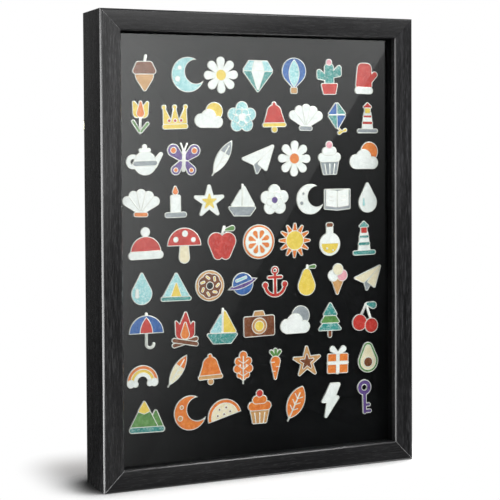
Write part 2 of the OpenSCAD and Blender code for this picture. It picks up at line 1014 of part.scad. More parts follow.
module pine(needle, shade, trunk) {
    struck([trunk, needle, shade, needle]) {
        blob([[0, -12.6], [0, -8]], 2);
        blob([[-9, -7.4], [9, -7.4], [0, 3]], 1.5);
        blob([[-7.2, -1.4], [7.2, -1.4], [0, 8]], 1.5);
        blob([[-5, 4.6], [5, 4.6], [0, 12.6]], 1.5);
    }
}

module lighthouse(tower, stripe, lamp, rock) {
    struck([tower, stripe, stripe, lamp, stripe, rock]) {
        blob([[-4.4, -10], [4.4, -10], [2.6, 4], [-2.6, 4]], 1.4);
        blob([[-3.9, -4.8], [3.9, -4.8]], 1.7);
        blob([[-3.2, 1], [3.2, 1]], 1.5);
        blob([[-1.8, 4.8], [1.8, 4.8], [1.8, 7.6], [-1.8, 7.6]], 1.4);
        blob([[-3.4, 9.6], [3.4, 9.6], [0, 12.6]], 1.2);
        blob([[-8.6, -12], [8.6, -12]], 2.1);
    }
}

module paper_plane(wing, fold) {
    struck([fold, wing, wing]) {
        blob([[-3.4, -3.6], [-1.4, -10.6], [12.6, 9.6]], 1.3);
        blob([[0.4, -3.8], [6.4, -8.4], [12.6, 9.6]], 1.3);
        blob([[-12.6, 0.4], [-4.6, -3.4], [12.6, 9.6]], 1.3);
    }
}

module teapot(body, band) {
    struck([body, body, band]) {
        union() {
            taper([7, -4], 3, [13, 4], 1.6);
            difference() {
                disc([-9.6, -1], 5.6);
                disc([-9.6, -1], 2 - 2 * $grow);
            }
            disc([0, 10], 2);
            blob([[-3.2, 7.4], [3.2, 7.4]], 1.7);
        }
        disc([0, -2.4], 9.2);
        blob([[-7.8, -2.6], [7.8, -2.6]], 2.3);
    }
}

module bell(dome_ink, band) {
    struck([band, dome_ink, band]) {
        disc([0, -10.6], 3);
        union() {
            disc([0, 4], 7.4);
            disc([0, 11.6], 2.2);
            blob([[-9.4, -6], [9.4, -6], [6, 3.6], [-6, 3.6]], 1.6);
        }
        blob([[-9.6, -6.6], [9.6, -6.6]], 2.1);
    }
}

module camera(body, trim, glass) {
    struck([trim, body, trim, glass]) {
        blob([[-4.4, 6], [4.4, 6], [3, 9.6], [-3, 9.6]], 1.4);
        blob([[-11.6, -7.6], [11.6, -7.6], [11.6, 5], [-11.6, 5]], 2);
        disc([0, -1.2], 6.6);
        disc([0, -1.2], 4.2);
    }
}

module doughnut(dough, icing, sprinkle) {
    struck([dough, icing, sprinkle, "black"]) {
        disc([0, 0], 13.4);
        for (i = [0 : 6]) rotate(360 / 7 * i) disc([5.4, 0], 6);
        for (i = [0 : 6]) rotate(360 / 7 * i) blob([[6.4, -0.8], [8.2, 0.8]], 1.25);
        disc([0, 0], 3.6);
    }
}

module apple(skin, leaf_ink) {
    struck(["bare", leaf_ink, skin]) {
        blob([[0, 6], [1.6, 12.6]], 1.1);
        taper([3.2, 10.4], 1.4, [8.6, 11.6], 2.4);
        union() {
            for (s = [-1, 1]) taper([s * 5, 1.6], 7, [s * 3.2, -8.4], 4.6);
            disc([0, -2], 6);
        }
    }
}

module pear(skin, leaf_ink) {
    struck(["bare", leaf_ink, skin]) {
        blob([[0, 8], [0.8, 13.6]], 1);
        taper([2.6, 12], 1.3, [7.6, 12.4], 2.1);
        union() {
            taper([0, -4.6], 8.8, [0, 6.4], 4.6);
        }
    }
}

module avocado(skin, flesh, stone) {
    struck([skin, flesh, stone]) {
        taper([0, -3.6], 10.4, [0, 8.4], 5.4);
        taper([0, -3.6], 8.2, [0, 8.2], 3.4);
        disc([0, -4.4], 4.8);
    }
}

module butterfly(wing, spot) {
    struck([wing, spot, "bare"]) {
        for (s = [-1, 1]) {
            taper([s * 3, 2], 3, [s * 8.6, 7], 5);
            taper([s * 2.6, -3], 2.4, [s * 6.4, -8], 4);
        }
        for (s = [-1, 1]) {
            disc([s * 8.6, 7], 2.6);
            disc([s * 6.4, -8], 2);
        }
        union() {
            blob([[0, -8], [0, 6]], 1.5);
            for (s = [-1, 1]) blob([[0, 6], [s * 2.6, 12.4]], 0.6);
        }
    }
}

module tent(cloth, door, grass) {
    struck([cloth, door, grass]) {
        blob([[-11, -8], [11, -8], [0, 11]], 1.6);
        blob([[-4, -8], [4, -8], [0, 3]], 1.3);
        blob([[-12, -9.6], [12, -9.6]], 2.1);
    }
}

module mitten(knit, cuff) {
    struck([knit, cuff]) {
        union() {
            blob([[-2.6, -6], [3.4, -6], [2.6, 7], [-1.6, 7]], 4.8);
            taper([5, -3], 3, [10, 2.4], 2.8);
        }
        blob([[-5, -10.6], [6, -10.6]], 2.9);
    }
}

module crown(gold, jewel) {
    struck([gold, jewel, gold]) {
        union() {
            for (x = [-9.6, 0, 9.6]) blob([[x * 0.7 - 3, -5], [x * 0.7 + 3, -5], [x, 7]], 1.4);
            for (x = [-9.8, 0, 9.8]) disc([x, 8.4], 2.2);
        }
        for (x = [-5.4, 0, 5.4]) disc([x, -3], 1.8);
        blob([[-9.4, -8], [9.4, -8]], 2.4);
    }
}

module campfire(flame, core, log) {
    struck([flame, core, log, log]) {
        union() {
            taper([0, -2], 6.6, [1, 12.2], 1.4);
            taper([-3.4, -3], 4.6, [-7, 6], 1.3);
            taper([3.6, -3], 4.6, [7.2, 4.6], 1.3);
        }
        taper([0, -4], 3.9, [0.4, 4.6], 1.2);
        blob([[-9, -12], [9, -8]], 2);
        blob([[-9, -8], [9, -12]], 2);
    }
}

module cupcake(paper, icing, topping) {
    struck([paper, icing, icing, topping, "bare"]) {
        blob([[-5, -12], [5, -12], [7.2, -2], [-7.2, -2]], 1.5);
        blob([[-6.4, 0.6], [6.4, 0.6]], 3.8);
        blob([[-3, 5.6], [3, 5.6]], 3.5);
        disc([0, 10.6], 3.2);
        for (x = [-1, 0, 1]) blob([[x * 3.2, -12.6], [x * 4.4, -4.8]], 0.42);
    }
}

module candle(wax, dish, flame) {
    struck([flame, wax, dish]) {
        taper([0, 9], 2.9, [0, 13], 1.2);
        blob([[-2.8, -8], [2.8, -8], [2.8, 4.6], [-2.8, 4.6]], 2);
        blob([[-7.6, -10.6], [7.6, -10.6]], 2.5);
    }
}

module gift(paper, ribbon) {
    struck([paper, ribbon, ribbon]) {
        blob([[-9, -11], [9, -11], [9, 4], [-9, 4]], 1.6);
        union() {
            blob([[0, -11.4], [0, 4.4]], 1.9);
            blob([[-9.4, -3], [9.4, -3]], 1.7);
        }
        for (s = [-1, 1]) taper([s * 1, 6], 1.6, [s * 5.4, 9.4], 3);
    }
}

module beanie(knit, band, pompom) {
    struck([pompom, knit, band]) {
        disc([0, 10.6], 3.7);
        half_disc([0, -5], 12.4);
        blob([[-11, -7], [11, -7]], 3.2);
    }
}

module potion(glass, liquid, cork) {
    struck([glass, cork, liquid, "bare"]) {
        union() {
            disc([0, -4], 9.4);
            blob([[-1.6, 2], [1.6, 2], [1.6, 9], [-1.6, 9]], 1.6);
        }
        blob([[-1.4, 11.4], [1.4, 11.4]], 2.1);
        intersection() {
            disc([0, -4], 7.9);
            blob([[-12, -16], [12, -16], [12, -4], [-12, -4]], 1);
        }
        union() {
            disc([-2.6, -7.4], 1);
            disc([2.8, -9], 0.8);
        }
    }
}

module book(cover, page) {
    struck([cover, page, page, "bare"]) {
        blob([[-12, -8.4], [0, -9.6], [12, -8.4], [12, 7.4], [-12, 7.4]], 1.3);
        blob([[-10.4, -5.6], [-1.3, -6.8], [-1.3, 5.8], [-10.4, 7.4]], 1.2);
        blob([[1.3, -6.8], [10.4, -5.6], [10.4, 7.4], [1.3, 5.8]], 1.2);
        for (s = [-1, 1], y = [-2, 1.5]) blob([[s * 4, y], [s * 8, y + 0.6]], 0.4);
    }
}

// ------------------------------------------------------ layout on the board

function row_count(row) = row % 2 == 1 ? 7 : 8;
function row_side(row) = row % 2 == 1 ? col_side : small_col_side;
function row_size(row) = row % 2 == 1 ? pin_size : small_pin_size;

// Middle of one pin, seen from the front, from the middle of the frame
function pin_place(row, col) =
    let (side = row_side(row), pitch = (opening_w - 2 * side) / (row_count(row) - 1))
        [side - opening_w / 2 + col * pitch,
         opening_h / 2 - row_top - (row - 1) * row_pitch];

// A pin put on by hand is never quite straight
function pin_lean(row, col) = hand_lean * sin(137 * (row * 9 + col));

// Puts the row's motifs in their places, in the front view
module in_row(row) {
    step = row_size(row) / MOTIF_GRID;
    for (col = [0 : $children - 1])
        translate(pin_place(row, col))
            rotate(pin_lean(row, col))
                scale(step) let ($rim = rim_w / step, $hair = side_step / step) children(col);
}

// Does something at each pin of a row, its Z axis out towards the glass
module pin_row(row) {
    for (col = [0 : row_count(row) - 1])
        translate([pin_place(row, col)[0], pin_back_y, mid_z + pin_place(row, col)[1]])
            rotate([90, 0, 0]) children();
}

module row_1() {
    in_row(1) {
        acorn("brown", "tan");
        crescent("aqua", "white");
        daisy("white", "yellow");
        gem("teal", "aqua", "white");
        balloon("blue", "aqua", "tan");
        cactus("teal", "red", "pink");
        mitten("red", "white");
    }
}

module row_2() {
    in_row(2) {
        tulip("yellow", "orange", "green");
        crown("yellow", "red");
        cloud("yellow", "white");
        blossom("aqua", "white");
        bell("red", "yellow");
        scallop("white", "grey");
        kite("blue", "teal", "yellow");
        lighthouse("white", "red", "yellow", "grey");
    }
}

module row_3() {
    in_row(3) {
        teapot("white", "grey");
        butterfly("purple", "orange");
        feather("white", "grey");
        paper_plane("white", "grey");
        daisy("white", "orange");
        cupcake("grey", "white", "pink");
        cloud("orange", "white");
    }
}

module row_4() {
    in_row(4) {
        scallop("white", "orange");
        candle("white", "grey", "orange");
        star("white", "yellow");
        sailboat("grey", "white", "white");
        blossom("white", "purple");
        crescent("white", "grey");
        book("grey", "white");
        drop("white", "aqua");
    }
}

module row_5() {
    in_row(5) {
        beanie("red", "white", "white");
        mushroom("red", "white", "ivory");
        apple("red", "green");
        citrus("orange", "white", "orange");
        sun("orange", "yellow");
        potion("white", "yellow", "brown");
        lighthouse("white", "teal", "red", "teal");
    }
}

module row_6() {
    in_row(6) {
        drop("aqua", "white");
        tent("aqua", "yellow", "teal");
        doughnut("tan", "brown", "yellow");
        planet("purple", "blue", "aqua");
        anchor("red");
        pear("yellow", "green");
        ice_cream("tan", "white", "pink", "ivory");
        paper_plane("ivory", "grey");
    }
}

module row_7() {
    in_row(7) {
        umbrella("blue", "red");
        campfire("red", "orange", "brown");
        sailboat("teal", "yellow", "aqua");
        camera("brown", "tan", "yellow");
        cloud("grey", "white");
        pine("teal", "green", "brown");
        cherries("red", "teal");
    }
}

module row_8() {
    in_row(8) {
        rainbow("orange", "yellow", "white", "white");
        feather("ivory", "orange");
        bell("orange", "tan");
        oak_leaf("orange");
        carrot("orange", "green");
        star("tan", "brown");
        gift("orange", "white");
        avocado("green", "ivory", "brown");
    }
}

module row_9() {
    in_row(9) {
        mountain("green", "yellow", "teal");
        crescent("orange", "tan");
        melon("orange", "ivory", "brown");
        cupcake("tan", "orange", "red");
        leaf("orange");
        bolt("white");
        key("purple");
    }
}

// The motifs of one row, in the front view
module motifs(row) {
    if (row == 1) row_1();
    if (row == 2) row_2();
    if (row == 3) row_3();
    if (row == 4) row_4();
    if (row == 5) row_5();
    if (row == 6) row_6();
    if (row == 7) row_7();
    if (row == 8) row_8();
    if (row == 9) row_9();
}

// The struck metal of one row of pins, each with the post on its back
module pins_row(row) {
    face_y = pin_back_y - pin_t;
    color("#c9c7c2") {
        difference() {
            framed_view(face_y, pin_t) let ($ink = "plate") motifs(row);
            framed_view(face_y - over, over + enamel_d) let ($ink = "pocket") motifs(row);
        }
        pin_row(row)
            translate([0, 0, -post_len]) cylinder(h = post_len + pin_t - enamel_d, r = post_r);
    }
}

// One colour of enamel, in every pin that has it
module enamel(ink, shade) {
    color(shade)
        framed_view(pin_back_y - pin_t + enamel_dip, enamel_d - enamel_dip)
            for (row = [1 : ROWS]) let ($ink = ink) motifs(row);
}

// ------------------------------------------------------------------ nodes

top_rail();
bottom_rail();
left_stile();
right_stile();
corner_v_nails();
glazing();
spacer_top();
spacer_bottom();
spacer_left();
spacer_right();
pin_cloth();
foam_board();
back_panel();
button_rivets();
turn_button(0);  // turn_button_top_left
turn_button(1);  // turn_button_top_right
turn_button(2);  // turn_button_bottom_left
turn_button(3);  // turn_button_bottom_right
turn_button(4);  // turn_button_left_upper
turn_button(5);  // turn_button_left_lower
turn_button(6);  // turn_button_right_upper
turn_button(7);  // turn_button_right_lower
hanger_strap(-1);  // hanger_strap_left
hanger_strap(1);  // hanger_strap_right
hanger_ring(-1);  // hanger_ring_left
hanger_ring(1);  // hanger_ring_right
hanger_screws();
wall_bumpers();
pins_row(1);  // pins_row_1
pins_row(2);  // pins_row_2
pins_row(3);  // pins_row_3
pins_row(4);  // pins_row_4
pins_row(5);  // pins_row_5
pins_row(6);  // pins_row_6
pins_row(7);  // pins_row_7
pins_row(8);  // pins_row_8
pins_row(9);  // pins_row_9
enamel("white", "#f4f4f2");  // enamel_white
enamel("ivory", "#f3e6c4");  // enamel_ivory
enamel("pink", "#f0a9b4");  // enamel_pink
enamel("red", "#c8322b");  // enamel_red
enamel("orange", "#ea8a3c");  // enamel_orange
enamel("tan", "#cf9a62");  // enamel_tan
enamel("brown", "#7c4528");  // enamel_brown
enamel("yellow", "#f2cf5a");  // enamel_yellow
enamel("green", "#5e8f4a");  // enamel_green
enamel("teal", "#2f8f8a");  // enamel_teal
enamel("aqua", "#9fd6dc");  // enamel_aqua
enamel("blue", "#2f62a8");  // enamel_blue
enamel("purple", "#6b4a86");  // enamel_purple
enamel("grey", "#9a9ea4");  // enamel_grey
enamel("black", "#17181a");  // enamel_black
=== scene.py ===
"""An enamel pin display case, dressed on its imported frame.

A black box frame stands on a pale floor. Behind its glass a felt board carries nine
rows of struck enamel pins. Turn buttons hold the board in from behind, two rings hang
the case and two rubber bumpers keep its foot off the wall. Lengths are in metres
unless a name says otherwise.
"""

import json
import logging
import math
from dataclasses import dataclass, field
from enum import Enum
from typing import Any

import bpy
from mathutils import Euler, Matrix, Vector


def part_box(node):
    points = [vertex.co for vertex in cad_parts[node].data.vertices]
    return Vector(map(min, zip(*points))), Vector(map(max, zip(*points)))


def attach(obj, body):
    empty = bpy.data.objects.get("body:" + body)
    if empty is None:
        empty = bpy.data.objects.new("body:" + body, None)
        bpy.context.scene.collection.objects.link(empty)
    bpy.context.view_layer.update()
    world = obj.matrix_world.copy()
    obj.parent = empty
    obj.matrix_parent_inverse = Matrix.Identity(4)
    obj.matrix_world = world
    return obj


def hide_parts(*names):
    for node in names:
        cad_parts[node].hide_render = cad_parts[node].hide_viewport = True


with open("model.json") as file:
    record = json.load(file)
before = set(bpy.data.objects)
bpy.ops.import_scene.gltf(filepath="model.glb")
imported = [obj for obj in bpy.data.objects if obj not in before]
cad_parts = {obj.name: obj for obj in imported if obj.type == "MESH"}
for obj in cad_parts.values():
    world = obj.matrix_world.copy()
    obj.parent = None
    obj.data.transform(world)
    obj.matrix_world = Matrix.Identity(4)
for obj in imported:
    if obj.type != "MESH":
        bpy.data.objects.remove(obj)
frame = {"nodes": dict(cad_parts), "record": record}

Tree = bpy.types.NodeTree
Node = bpy.types.Node
Socket = bpy.types.NodeSocket
Piece = bpy.types.Object
Material = bpy.types.Material
Pair = tuple[float, float]
Triple = tuple[float, float, float]
Window = tuple[float, float, float, float]
Stops = tuple[tuple[float, str], ...]

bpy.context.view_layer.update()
LOG = logging.getLogger("pin_display_case")
MM = 0.001
WHITE = (1.0, 1.0, 1.0, 1.0)
MOTTLED = (0.3, 0.7)  # where nearly all of a mottling's values lie


# ------------------------------------------------------------------ colour and nodes


def linear(colour: str) -> tuple[float, float, float, float]:
    """Turns an sRGB hex value to linear light.

    Args:
        colour: Six hex digits after a hash sign.

    Returns:
        Red, green, blue and an alpha of 1.
    """
    parts = [int(colour[i : i + 2], 16) / 255 for i in (1, 3, 5)]
    red, green, blue = (
        c / 12.92 if c <= 0.04045 else ((c + 0.055) / 1.055) ** 2.4 for c in parts
    )
    return red, green, blue, 1.0


def plug(node: Node, sockets: dict[Any, Any]) -> None:
    """Sets a node's inputs.

    Args:
        node: The node.
        sockets: Input names or numbers, each with a value, with an output socket or
            with a node, which stands for its first output.
    """
    for name, value in sockets.items():
        if isinstance(value, Node):
            value = value.outputs[0]
        if isinstance(value, Socket):
            node.id_data.links.new(value, node.inputs[name])
        else:
            node.inputs[name].default_value = value


def add_node(
    tree: Tree, kind: str, sockets: dict[Any, Any] | None = None, **settings: Any
) -> Node:
    """Adds a node with its settings, its values and its links.

    Args:
        tree: The node tree to add to.
        kind: The node's type name, without the word ShaderNode.
        sockets: The node's inputs, as plug() takes them.
        **settings: The node's own properties.

    Returns:
        The new node.
    """
    node = tree.nodes.new("ShaderNode" + kind)
    for name, value in settings.items():
        setattr(node, name, value)
    plug(node, sockets or {})
    return node


def empty_tree(owner: Material | bpy.types.World) -> Tree:
    """Gives the node tree of a material or of the world, cleared.

    Args:
        owner: The material or the world.

    Returns:
        Its empty node tree.
    """
    owner.use_nodes = True
    owner.node_tree.nodes.clear()
    return owner.node_tree


class Run(Enum):
    """The way that a grain, a brushing or an extrusion runs."""

    ALONG_X = 0
    ALONG_Z = 2

    def stretched(self, across: float, along: float) -> Triple:
        """Gives the features to a metre along X, Y and Z from their width and length."""
        return tuple(1 / (along if i == self.value else across) for i in range(3))


# ------------------------------------------------------------------------- finishes


@dataclass(frozen=True)
class Pattern:
    """A mottling of a surface, given by the real size of its features in metres."""

    across: float
    along: float | None = None
    run: Run = Run.ALONG_X
    detail: float = 3.0
    distortion: float = 0.0

    def place(self, tree: Tree) -> Node:
        """Adds the piece's own coordinates, counted in features.

        Args:
            tree: The material's nodes.

        Returns:
            The node that gives them.
        """
        where = add_node(tree, "TexCoord").outputs["Object"]
        scale = self.run.stretched(self.across, self.along or self.across)
        return add_node(tree, "Mapping", {"Vector": where, "Scale": scale})

    def value(self, tree: Tree) -> Node:
        """Adds the mottling.

        Args:
            tree: The material's nodes.

        Returns:
            The node that gives its value, from 0 to 1.
        """
        sockets = {
            "Vector": self.place(tree),
            "Scale": 1.0,
            "Detail": self.detail,
            "Distortion": self.distortion,
        }
        return add_node(tree, "TexNoise", sockets)


@dataclass(frozen=True)
class Finish:
    """A surface finish, made as one material on first use."""

    name: str

    def material(self) -> Material:
        """Gives the finish's material, which is made when it is first asked for.

        Returns:
            The material.
        """
        found = bpy.data.materials.get(self.name)
        if found is not None:
            return found
        made = bpy.data.materials.new(self.name)
        tree = empty_tree(made)
        shader = add_node(tree, "BsdfPrincipled")
        self.paint(tree, shader)
        add_node(tree, "OutputMaterial", {"Surface": self.surface(shader)})
        return made

    def paint(self, tree: Tree, shader: Node) -> None:
        """Adds the finish's own nodes to a material's tree, round its shader."""
        raise NotImplementedError

    def surface(self, shader: Node) -> Node:
        """Gives the node that is joined to the material's output."""
        return shader

    def lay(
        self,
        shader: Node,
        colour: tuple[Node, Stops],
        rough: tuple[Node, float, float] | float,
        relief: tuple[Node, float, float] | None = None,
        others: dict[str, float] | None = None,
    ) -> None:
        """Lays the colour, the roughness and the relief on a shader.

        Args:
            shader: The finish's shader.
            colour: A value, and the places from 0 to 1 where it has each hex colour.
            rough: One roughness, or a value with the least and the most of it.
            relief: A height, its full range in metres and how strongly it shows.
            others: The shader's other inputs.
        """
        tree = shader.id_data
        value, stops = colour
        tone = add_node(tree, "ValToRGB", {"Fac": value})
        elements = tone.color_ramp.elements
        while len(elements) < len(stops):
            elements.new(1.0)
        for element, (place, shade) in zip(elements, stops):
            element.position = place
            element.color = linear(shade)
        plug(shader, {"Base Color": tone} | (others or {}))
        if isinstance(rough, tuple):
            value, least, most = rough
            sockets = {0: value, 1: MOTTLED[0], 2: MOTTLED[1], 3: least, 4: most}
            rough = add_node(tree, "MapRange", sockets)
        plug(shader, {"Roughness": rough})
        if relief is not None:
            height, depth, strength = relief
            sockets = {"Height": height, "Distance": depth, "Strength": strength}
            plug(shader, {"Normal": add_node(tree, "Bump", sockets)})


@dataclass(frozen=True)
class FoilWrappedWood(Finish):
    """Black vinyl foil with a printed and pressed oak grain, wrapped round MDF."""

    run: Run = Run.ALONG_Z
    gloss: float = 0.5
    depth: float = 0.05 * MM
    pore_dark: str = "#0e0e0f"
    field_mid: str = "#1b1b1c"
    streak_light: str = "#303031"
    places: Triple = (0.36, 0.47, 0.62)
    figure_size: Pair = (2.6 * MM, 60 * MM)
    pore_size: Pair = (0.8 * MM, 9 * MM)
    lift: float = 0.22
    rough: Pair = (0.2, 0.3)
    relief: float = 0.5

    def paint(self, tree: Tree, shader: Node) -> None:
        """Long streaks of early and late wood, and short open pores between them.

        Args:
            tree: The material's nodes.
            shader: Its shader.
        """
        figure = Pattern(*self.figure_size, self.run, detail=2.0, distortion=0.6)
        pores = Pattern(*self.pore_size, self.run, distortion=0.4).value(tree)
        sockets = {0: figure.value(tree), 1: pores, 2: self.lift}
        grain = add_node(tree, "Math", sockets, operation="MULTIPLY_ADD")
        shades = self.pore_dark, self.field_mid, self.streak_light
        self.lay(
            shader,
            (grain, tuple(zip(self.places, shades))),
            (pores, *self.rough),
            (grain, self.depth, self.relief),
            {"Specular IOR Level": self.gloss},
        )


@dataclass(frozen=True)
class CutFoilEdgeAndHighlight(Finish):
    """The foil's cut edge at a mitre, pale and a little lifted, and partly a painted
    highlight.
    """

    pale: str = "#c0c0c0"
    grey: str = "#858586"
    places: Pair = (0.35, 0.65)
    breaks: Pattern = Pattern(4 * MM)
    rough: float = 0.5

    def paint(self, tree: Tree, shader: Node) -> None:
        """A thin line that breaks up along its length."""
        tones = tuple(zip(self.places, (self.grey, self.pale)))
        self.lay(shader, (self.breaks.value(tree), tones), self.rough)


@dataclass(frozen=True)
class FloatGlass(Finish):
    """Clear float glass, polished by its making; it mirrors what stands before it."""

    tint: str = "#fbfdfc"
    greener: str = "#f4f9f7"
    places: Pair = (0.35, 0.65)
    index: float = 1.5
    rough: float = 0.0
    wave: Pattern = Pattern(24 * MM, detail=2.0)

    def paint(self, tree: Tree, shader: Node) -> None:
        """A clear pane whose tint changes very faintly, in slow waves.

        Args:
            tree: The material's nodes.
            shader: Its shader.
        """
        tones = tuple(zip(self.places, (self.greener, self.tint)))
        through = {"IOR": self.index, "Transmission Weight": 1.0}
        self.lay(shader, (self.wave.value(tree), tones), self.rough, others=through)

    def surface(self, shader: Node) -> Node:
        """Lets lamplight straight through the pane to what it covers.

        Args:
            shader: The finish's shader.

        Returns:
            The node that is joined to the material's output.
        """
        tree = shader.id_data
        path = add_node(tree, "LightPath").outputs
        sockets = {0: path["Is Shadow Ray"], 1: path["Is Diffuse Ray"]}
        lit = add_node(tree, "Math", sockets, operation="MAXIMUM")
        clear = add_node(tree, "BsdfTransparent", {"Color": linear(self.tint)})
        return add_node(tree, "MixShader", {0: lit, 1: shader, 2: clear})


@dataclass(frozen=True)
class ExtrudedPlastic(Finish):
    """Black polystyrene strip, drawn through a die that leaves lines along it."""

    run: Run = Run.ALONG_X
    tones: Stops = ((0.35, "#080809"), (0.65, "#0d0d0e"))
    line_size: Pair = (0.5 * MM, 60 * MM)
    rough: Pair = (0.5, 0.65)
    relief: Pair = (0.03 * MM, 0.6)

    def paint(self, tree: Tree, shader: Node) -> None:
        """Fine lines along the strip, in the colour and in the gloss.

        Args:
            tree: The material's nodes.
            shader: Its shader.
        """
        lines = Pattern(*self.line_size, self.run).value(tree)
        self.lay(
            shader,
            (lines, self.tones),
            (lines, *self.rough),
            (lines, *self.relief),
            {"Specular IOR Level": 0.03},
        )


@dataclass(frozen=True)
class PaintedLipShade(Finish):
    """Painted shade on the lip's inner wall: a matt near-black as dark as its shade, so that
    it stays out of sight.
    """

    deep: str = "#0d0d0d"
    paler_shade: str = "#1a1a1b"
    places: Pair = (0.4, 0.65)
    coat: Pattern = Pattern(2.5 * MM, detail=4.0)
    rough: float = 0.85

    def paint(self, tree: Tree, shader: Node) -> None:
        """A mottling between the shade's two tones, a little paler in places.

        Args:
            tree: The material's nodes.
            shader: Its shader.
        """
        tones = tuple(zip(self.places, (self.deep, self.paler_shade)))
        dull = {"Specular IOR Level": 0.03}
        self.lay(shader, (self.coat.value(tree), tones), self.rough, others=dull)


@dataclass(frozen=True)
class PressedFelt(Finish):
    """Black felt, pressed from short wool fibres; it swallows most of the light."""

    tones: Stops = ((0.36, "#050506"), (0.58, "#0c0c0e"))
    fibre: Pattern = Pattern(0.8 * MM, detail=4.0, distortion=1.5)
    nap: Pattern = Pattern(11 * MM, detail=2.0)
    lift: float = 0.2
    rough: float = 0.95
    relief: Pair = (0.15 * MM, 0.5)

    def paint(self, tree: Tree, shader: Node) -> None:
        """Matted fibres, drawn at just under a millimetre, over slow changes in the nap.

        Args:
            tree: The material's nodes.
            shader: Its shader.
        """
        fibre = self.fibre.value(tree)
        sockets = {0: fibre, 1: self.nap.value(tree), 2: self.lift}
        both = add_node(tree, "Math", sockets, operation="MULTIPLY_ADD")
        soft = {"Specular IOR Level": 0.08, "Sheen Weight": 0.015, "Sheen Roughness": 0.5}
        self.lay(shader, (both, self.tones), self.rough, (fibre, *self.relief), soft)


@dataclass(frozen=True)
class CraftFoam(Finish):
    """Dark closed-cell foam board, whose cut faces show its fine cells."""

    tones: Stops = ((0.1, "#2c2c2e"), (0.7, "#434346"))
    cell: Pattern = Pattern(1.1 * MM)
    rough: float = 0.9
    relief: Pair = (0.2 * MM, 1.0)

    def paint(self, tree: Tree, shader: Node) -> None:
        """Cells of about a millimetre.

        Args:
            tree: The material's nodes.
            shader: Its shader.
        """
        sockets = {"Vector": self.cell.place(tree), "Scale": 1.0}
        cells = add_node(tree, "TexVoronoi", sockets)
        self.lay(shader, (cells, self.tones), self.rough, (cells, *self.relief))


@dataclass(frozen=True)
class Hardboard(Finish):
    """Brown hardboard, hot-pressed from wet wood fibre: a hard, faintly shiny skin."""

    tones: Stops = ((0.4, "#5a4029"), (0.5, "#755539"), (0.64, "#8d6b4b"))
    cloud: Pattern = Pattern(38 * MM)
    cloud_share: Pair = (0.2, 0.28)
    fibre: Pattern = Pattern(1.6 * MM, detail=6.0, distortion=2.2)
    fibre_share: float = 0.5
    rough: Pair = (0.45, 0.62)
    relief: Pair = (0.12 * MM, 0.5)

    def paint(self, tree: Tree, shader: Node) -> None:
        """Matted fibre bundles a millimetre or two wide, with pale flecks.

        Args:
            tree: The material's nodes.
            shader: Its shader.
        """
        spread = (self.cloud.value(tree), *MOTTLED, *self.cloud_share)
        cloud = add_node(tree, "MapRange", dict(enumerate(spread)))
        fibre = self.fibre.value(tree)
        sockets = {0: fibre, 1: self.fibre_share, 2: cloud}
        both = add_node(tree, "Math", sockets, operation="MULTIPLY_ADD")
        rough = (fibre, *self.rough)
        self.lay(shader, (both, self.tones), rough, (fibre, *self.relief))


@dataclass(frozen=True)
class PlatedSteel(Finish):
    """Stamped steel with a thin bright zinc or nickel plating."""

    dull: str = "#9c9fa2"
    bright: str = "#c9cccf"
    smoothest: float = 0.24
    roughest: float = 0.42
    cloud: Pattern = Pattern(3.5 * MM)
    scratch: Pattern = Pattern(0.25 * MM, 5 * MM, detail=2.0, distortion=0.8)
    relief: Pair = (0.02 * MM, 0.5)

    def paint(self, tree: Tree, shader: Node) -> None:
        """Soft clouds in the plating and short handling scratches.

        Args:
            tree: The material's nodes.
            shader: Its shader.
        """
        scratch = self.scratch.value(tree)
        self.lay(
            shader,
            (self.cloud.value(tree), tuple(zip(MOTTLED, (self.dull, self.bright)))),
            (scratch, self.smoothest, self.roughest),
            (scratch, *self.relief),
            {"Metallic": 1.0},
        )


@dataclass(frozen=True)
class StruckNickel(Finish):
    """Die-struck brass with a polished nickel plating: the pins' raised metal lines.

    It is less than fully metallic, so that its lines stay pale in a dark room.
    """

    low_tone: str = "#dcdad5"
    high_tone: str = "#f2f0ea"
    wheel: Pattern = Pattern(7 * MM, detail=2.0)
    peel: Pattern = Pattern(0.7 * MM, detail=2.0)
    rough: Pair = (0.3, 0.45)
    relief: Pair = (0.015 * MM, 0.5)

    def paint(self, tree: Tree, shader: Node) -> None:
        """Slow changes from the polishing wheel and a light orange peel.

        Args:
            tree: The material's nodes.
            shader: Its shader.
        """
        peel = self.peel.value(tree)
        self.lay(
            shader,
            (self.wheel.value(tree), tuple(zip(MOTTLED, (self.low_tone, self.high_tone)))),
            (peel, *self.rough),
            (peel, *self.relief),
            {"Metallic": 0.4},
        )


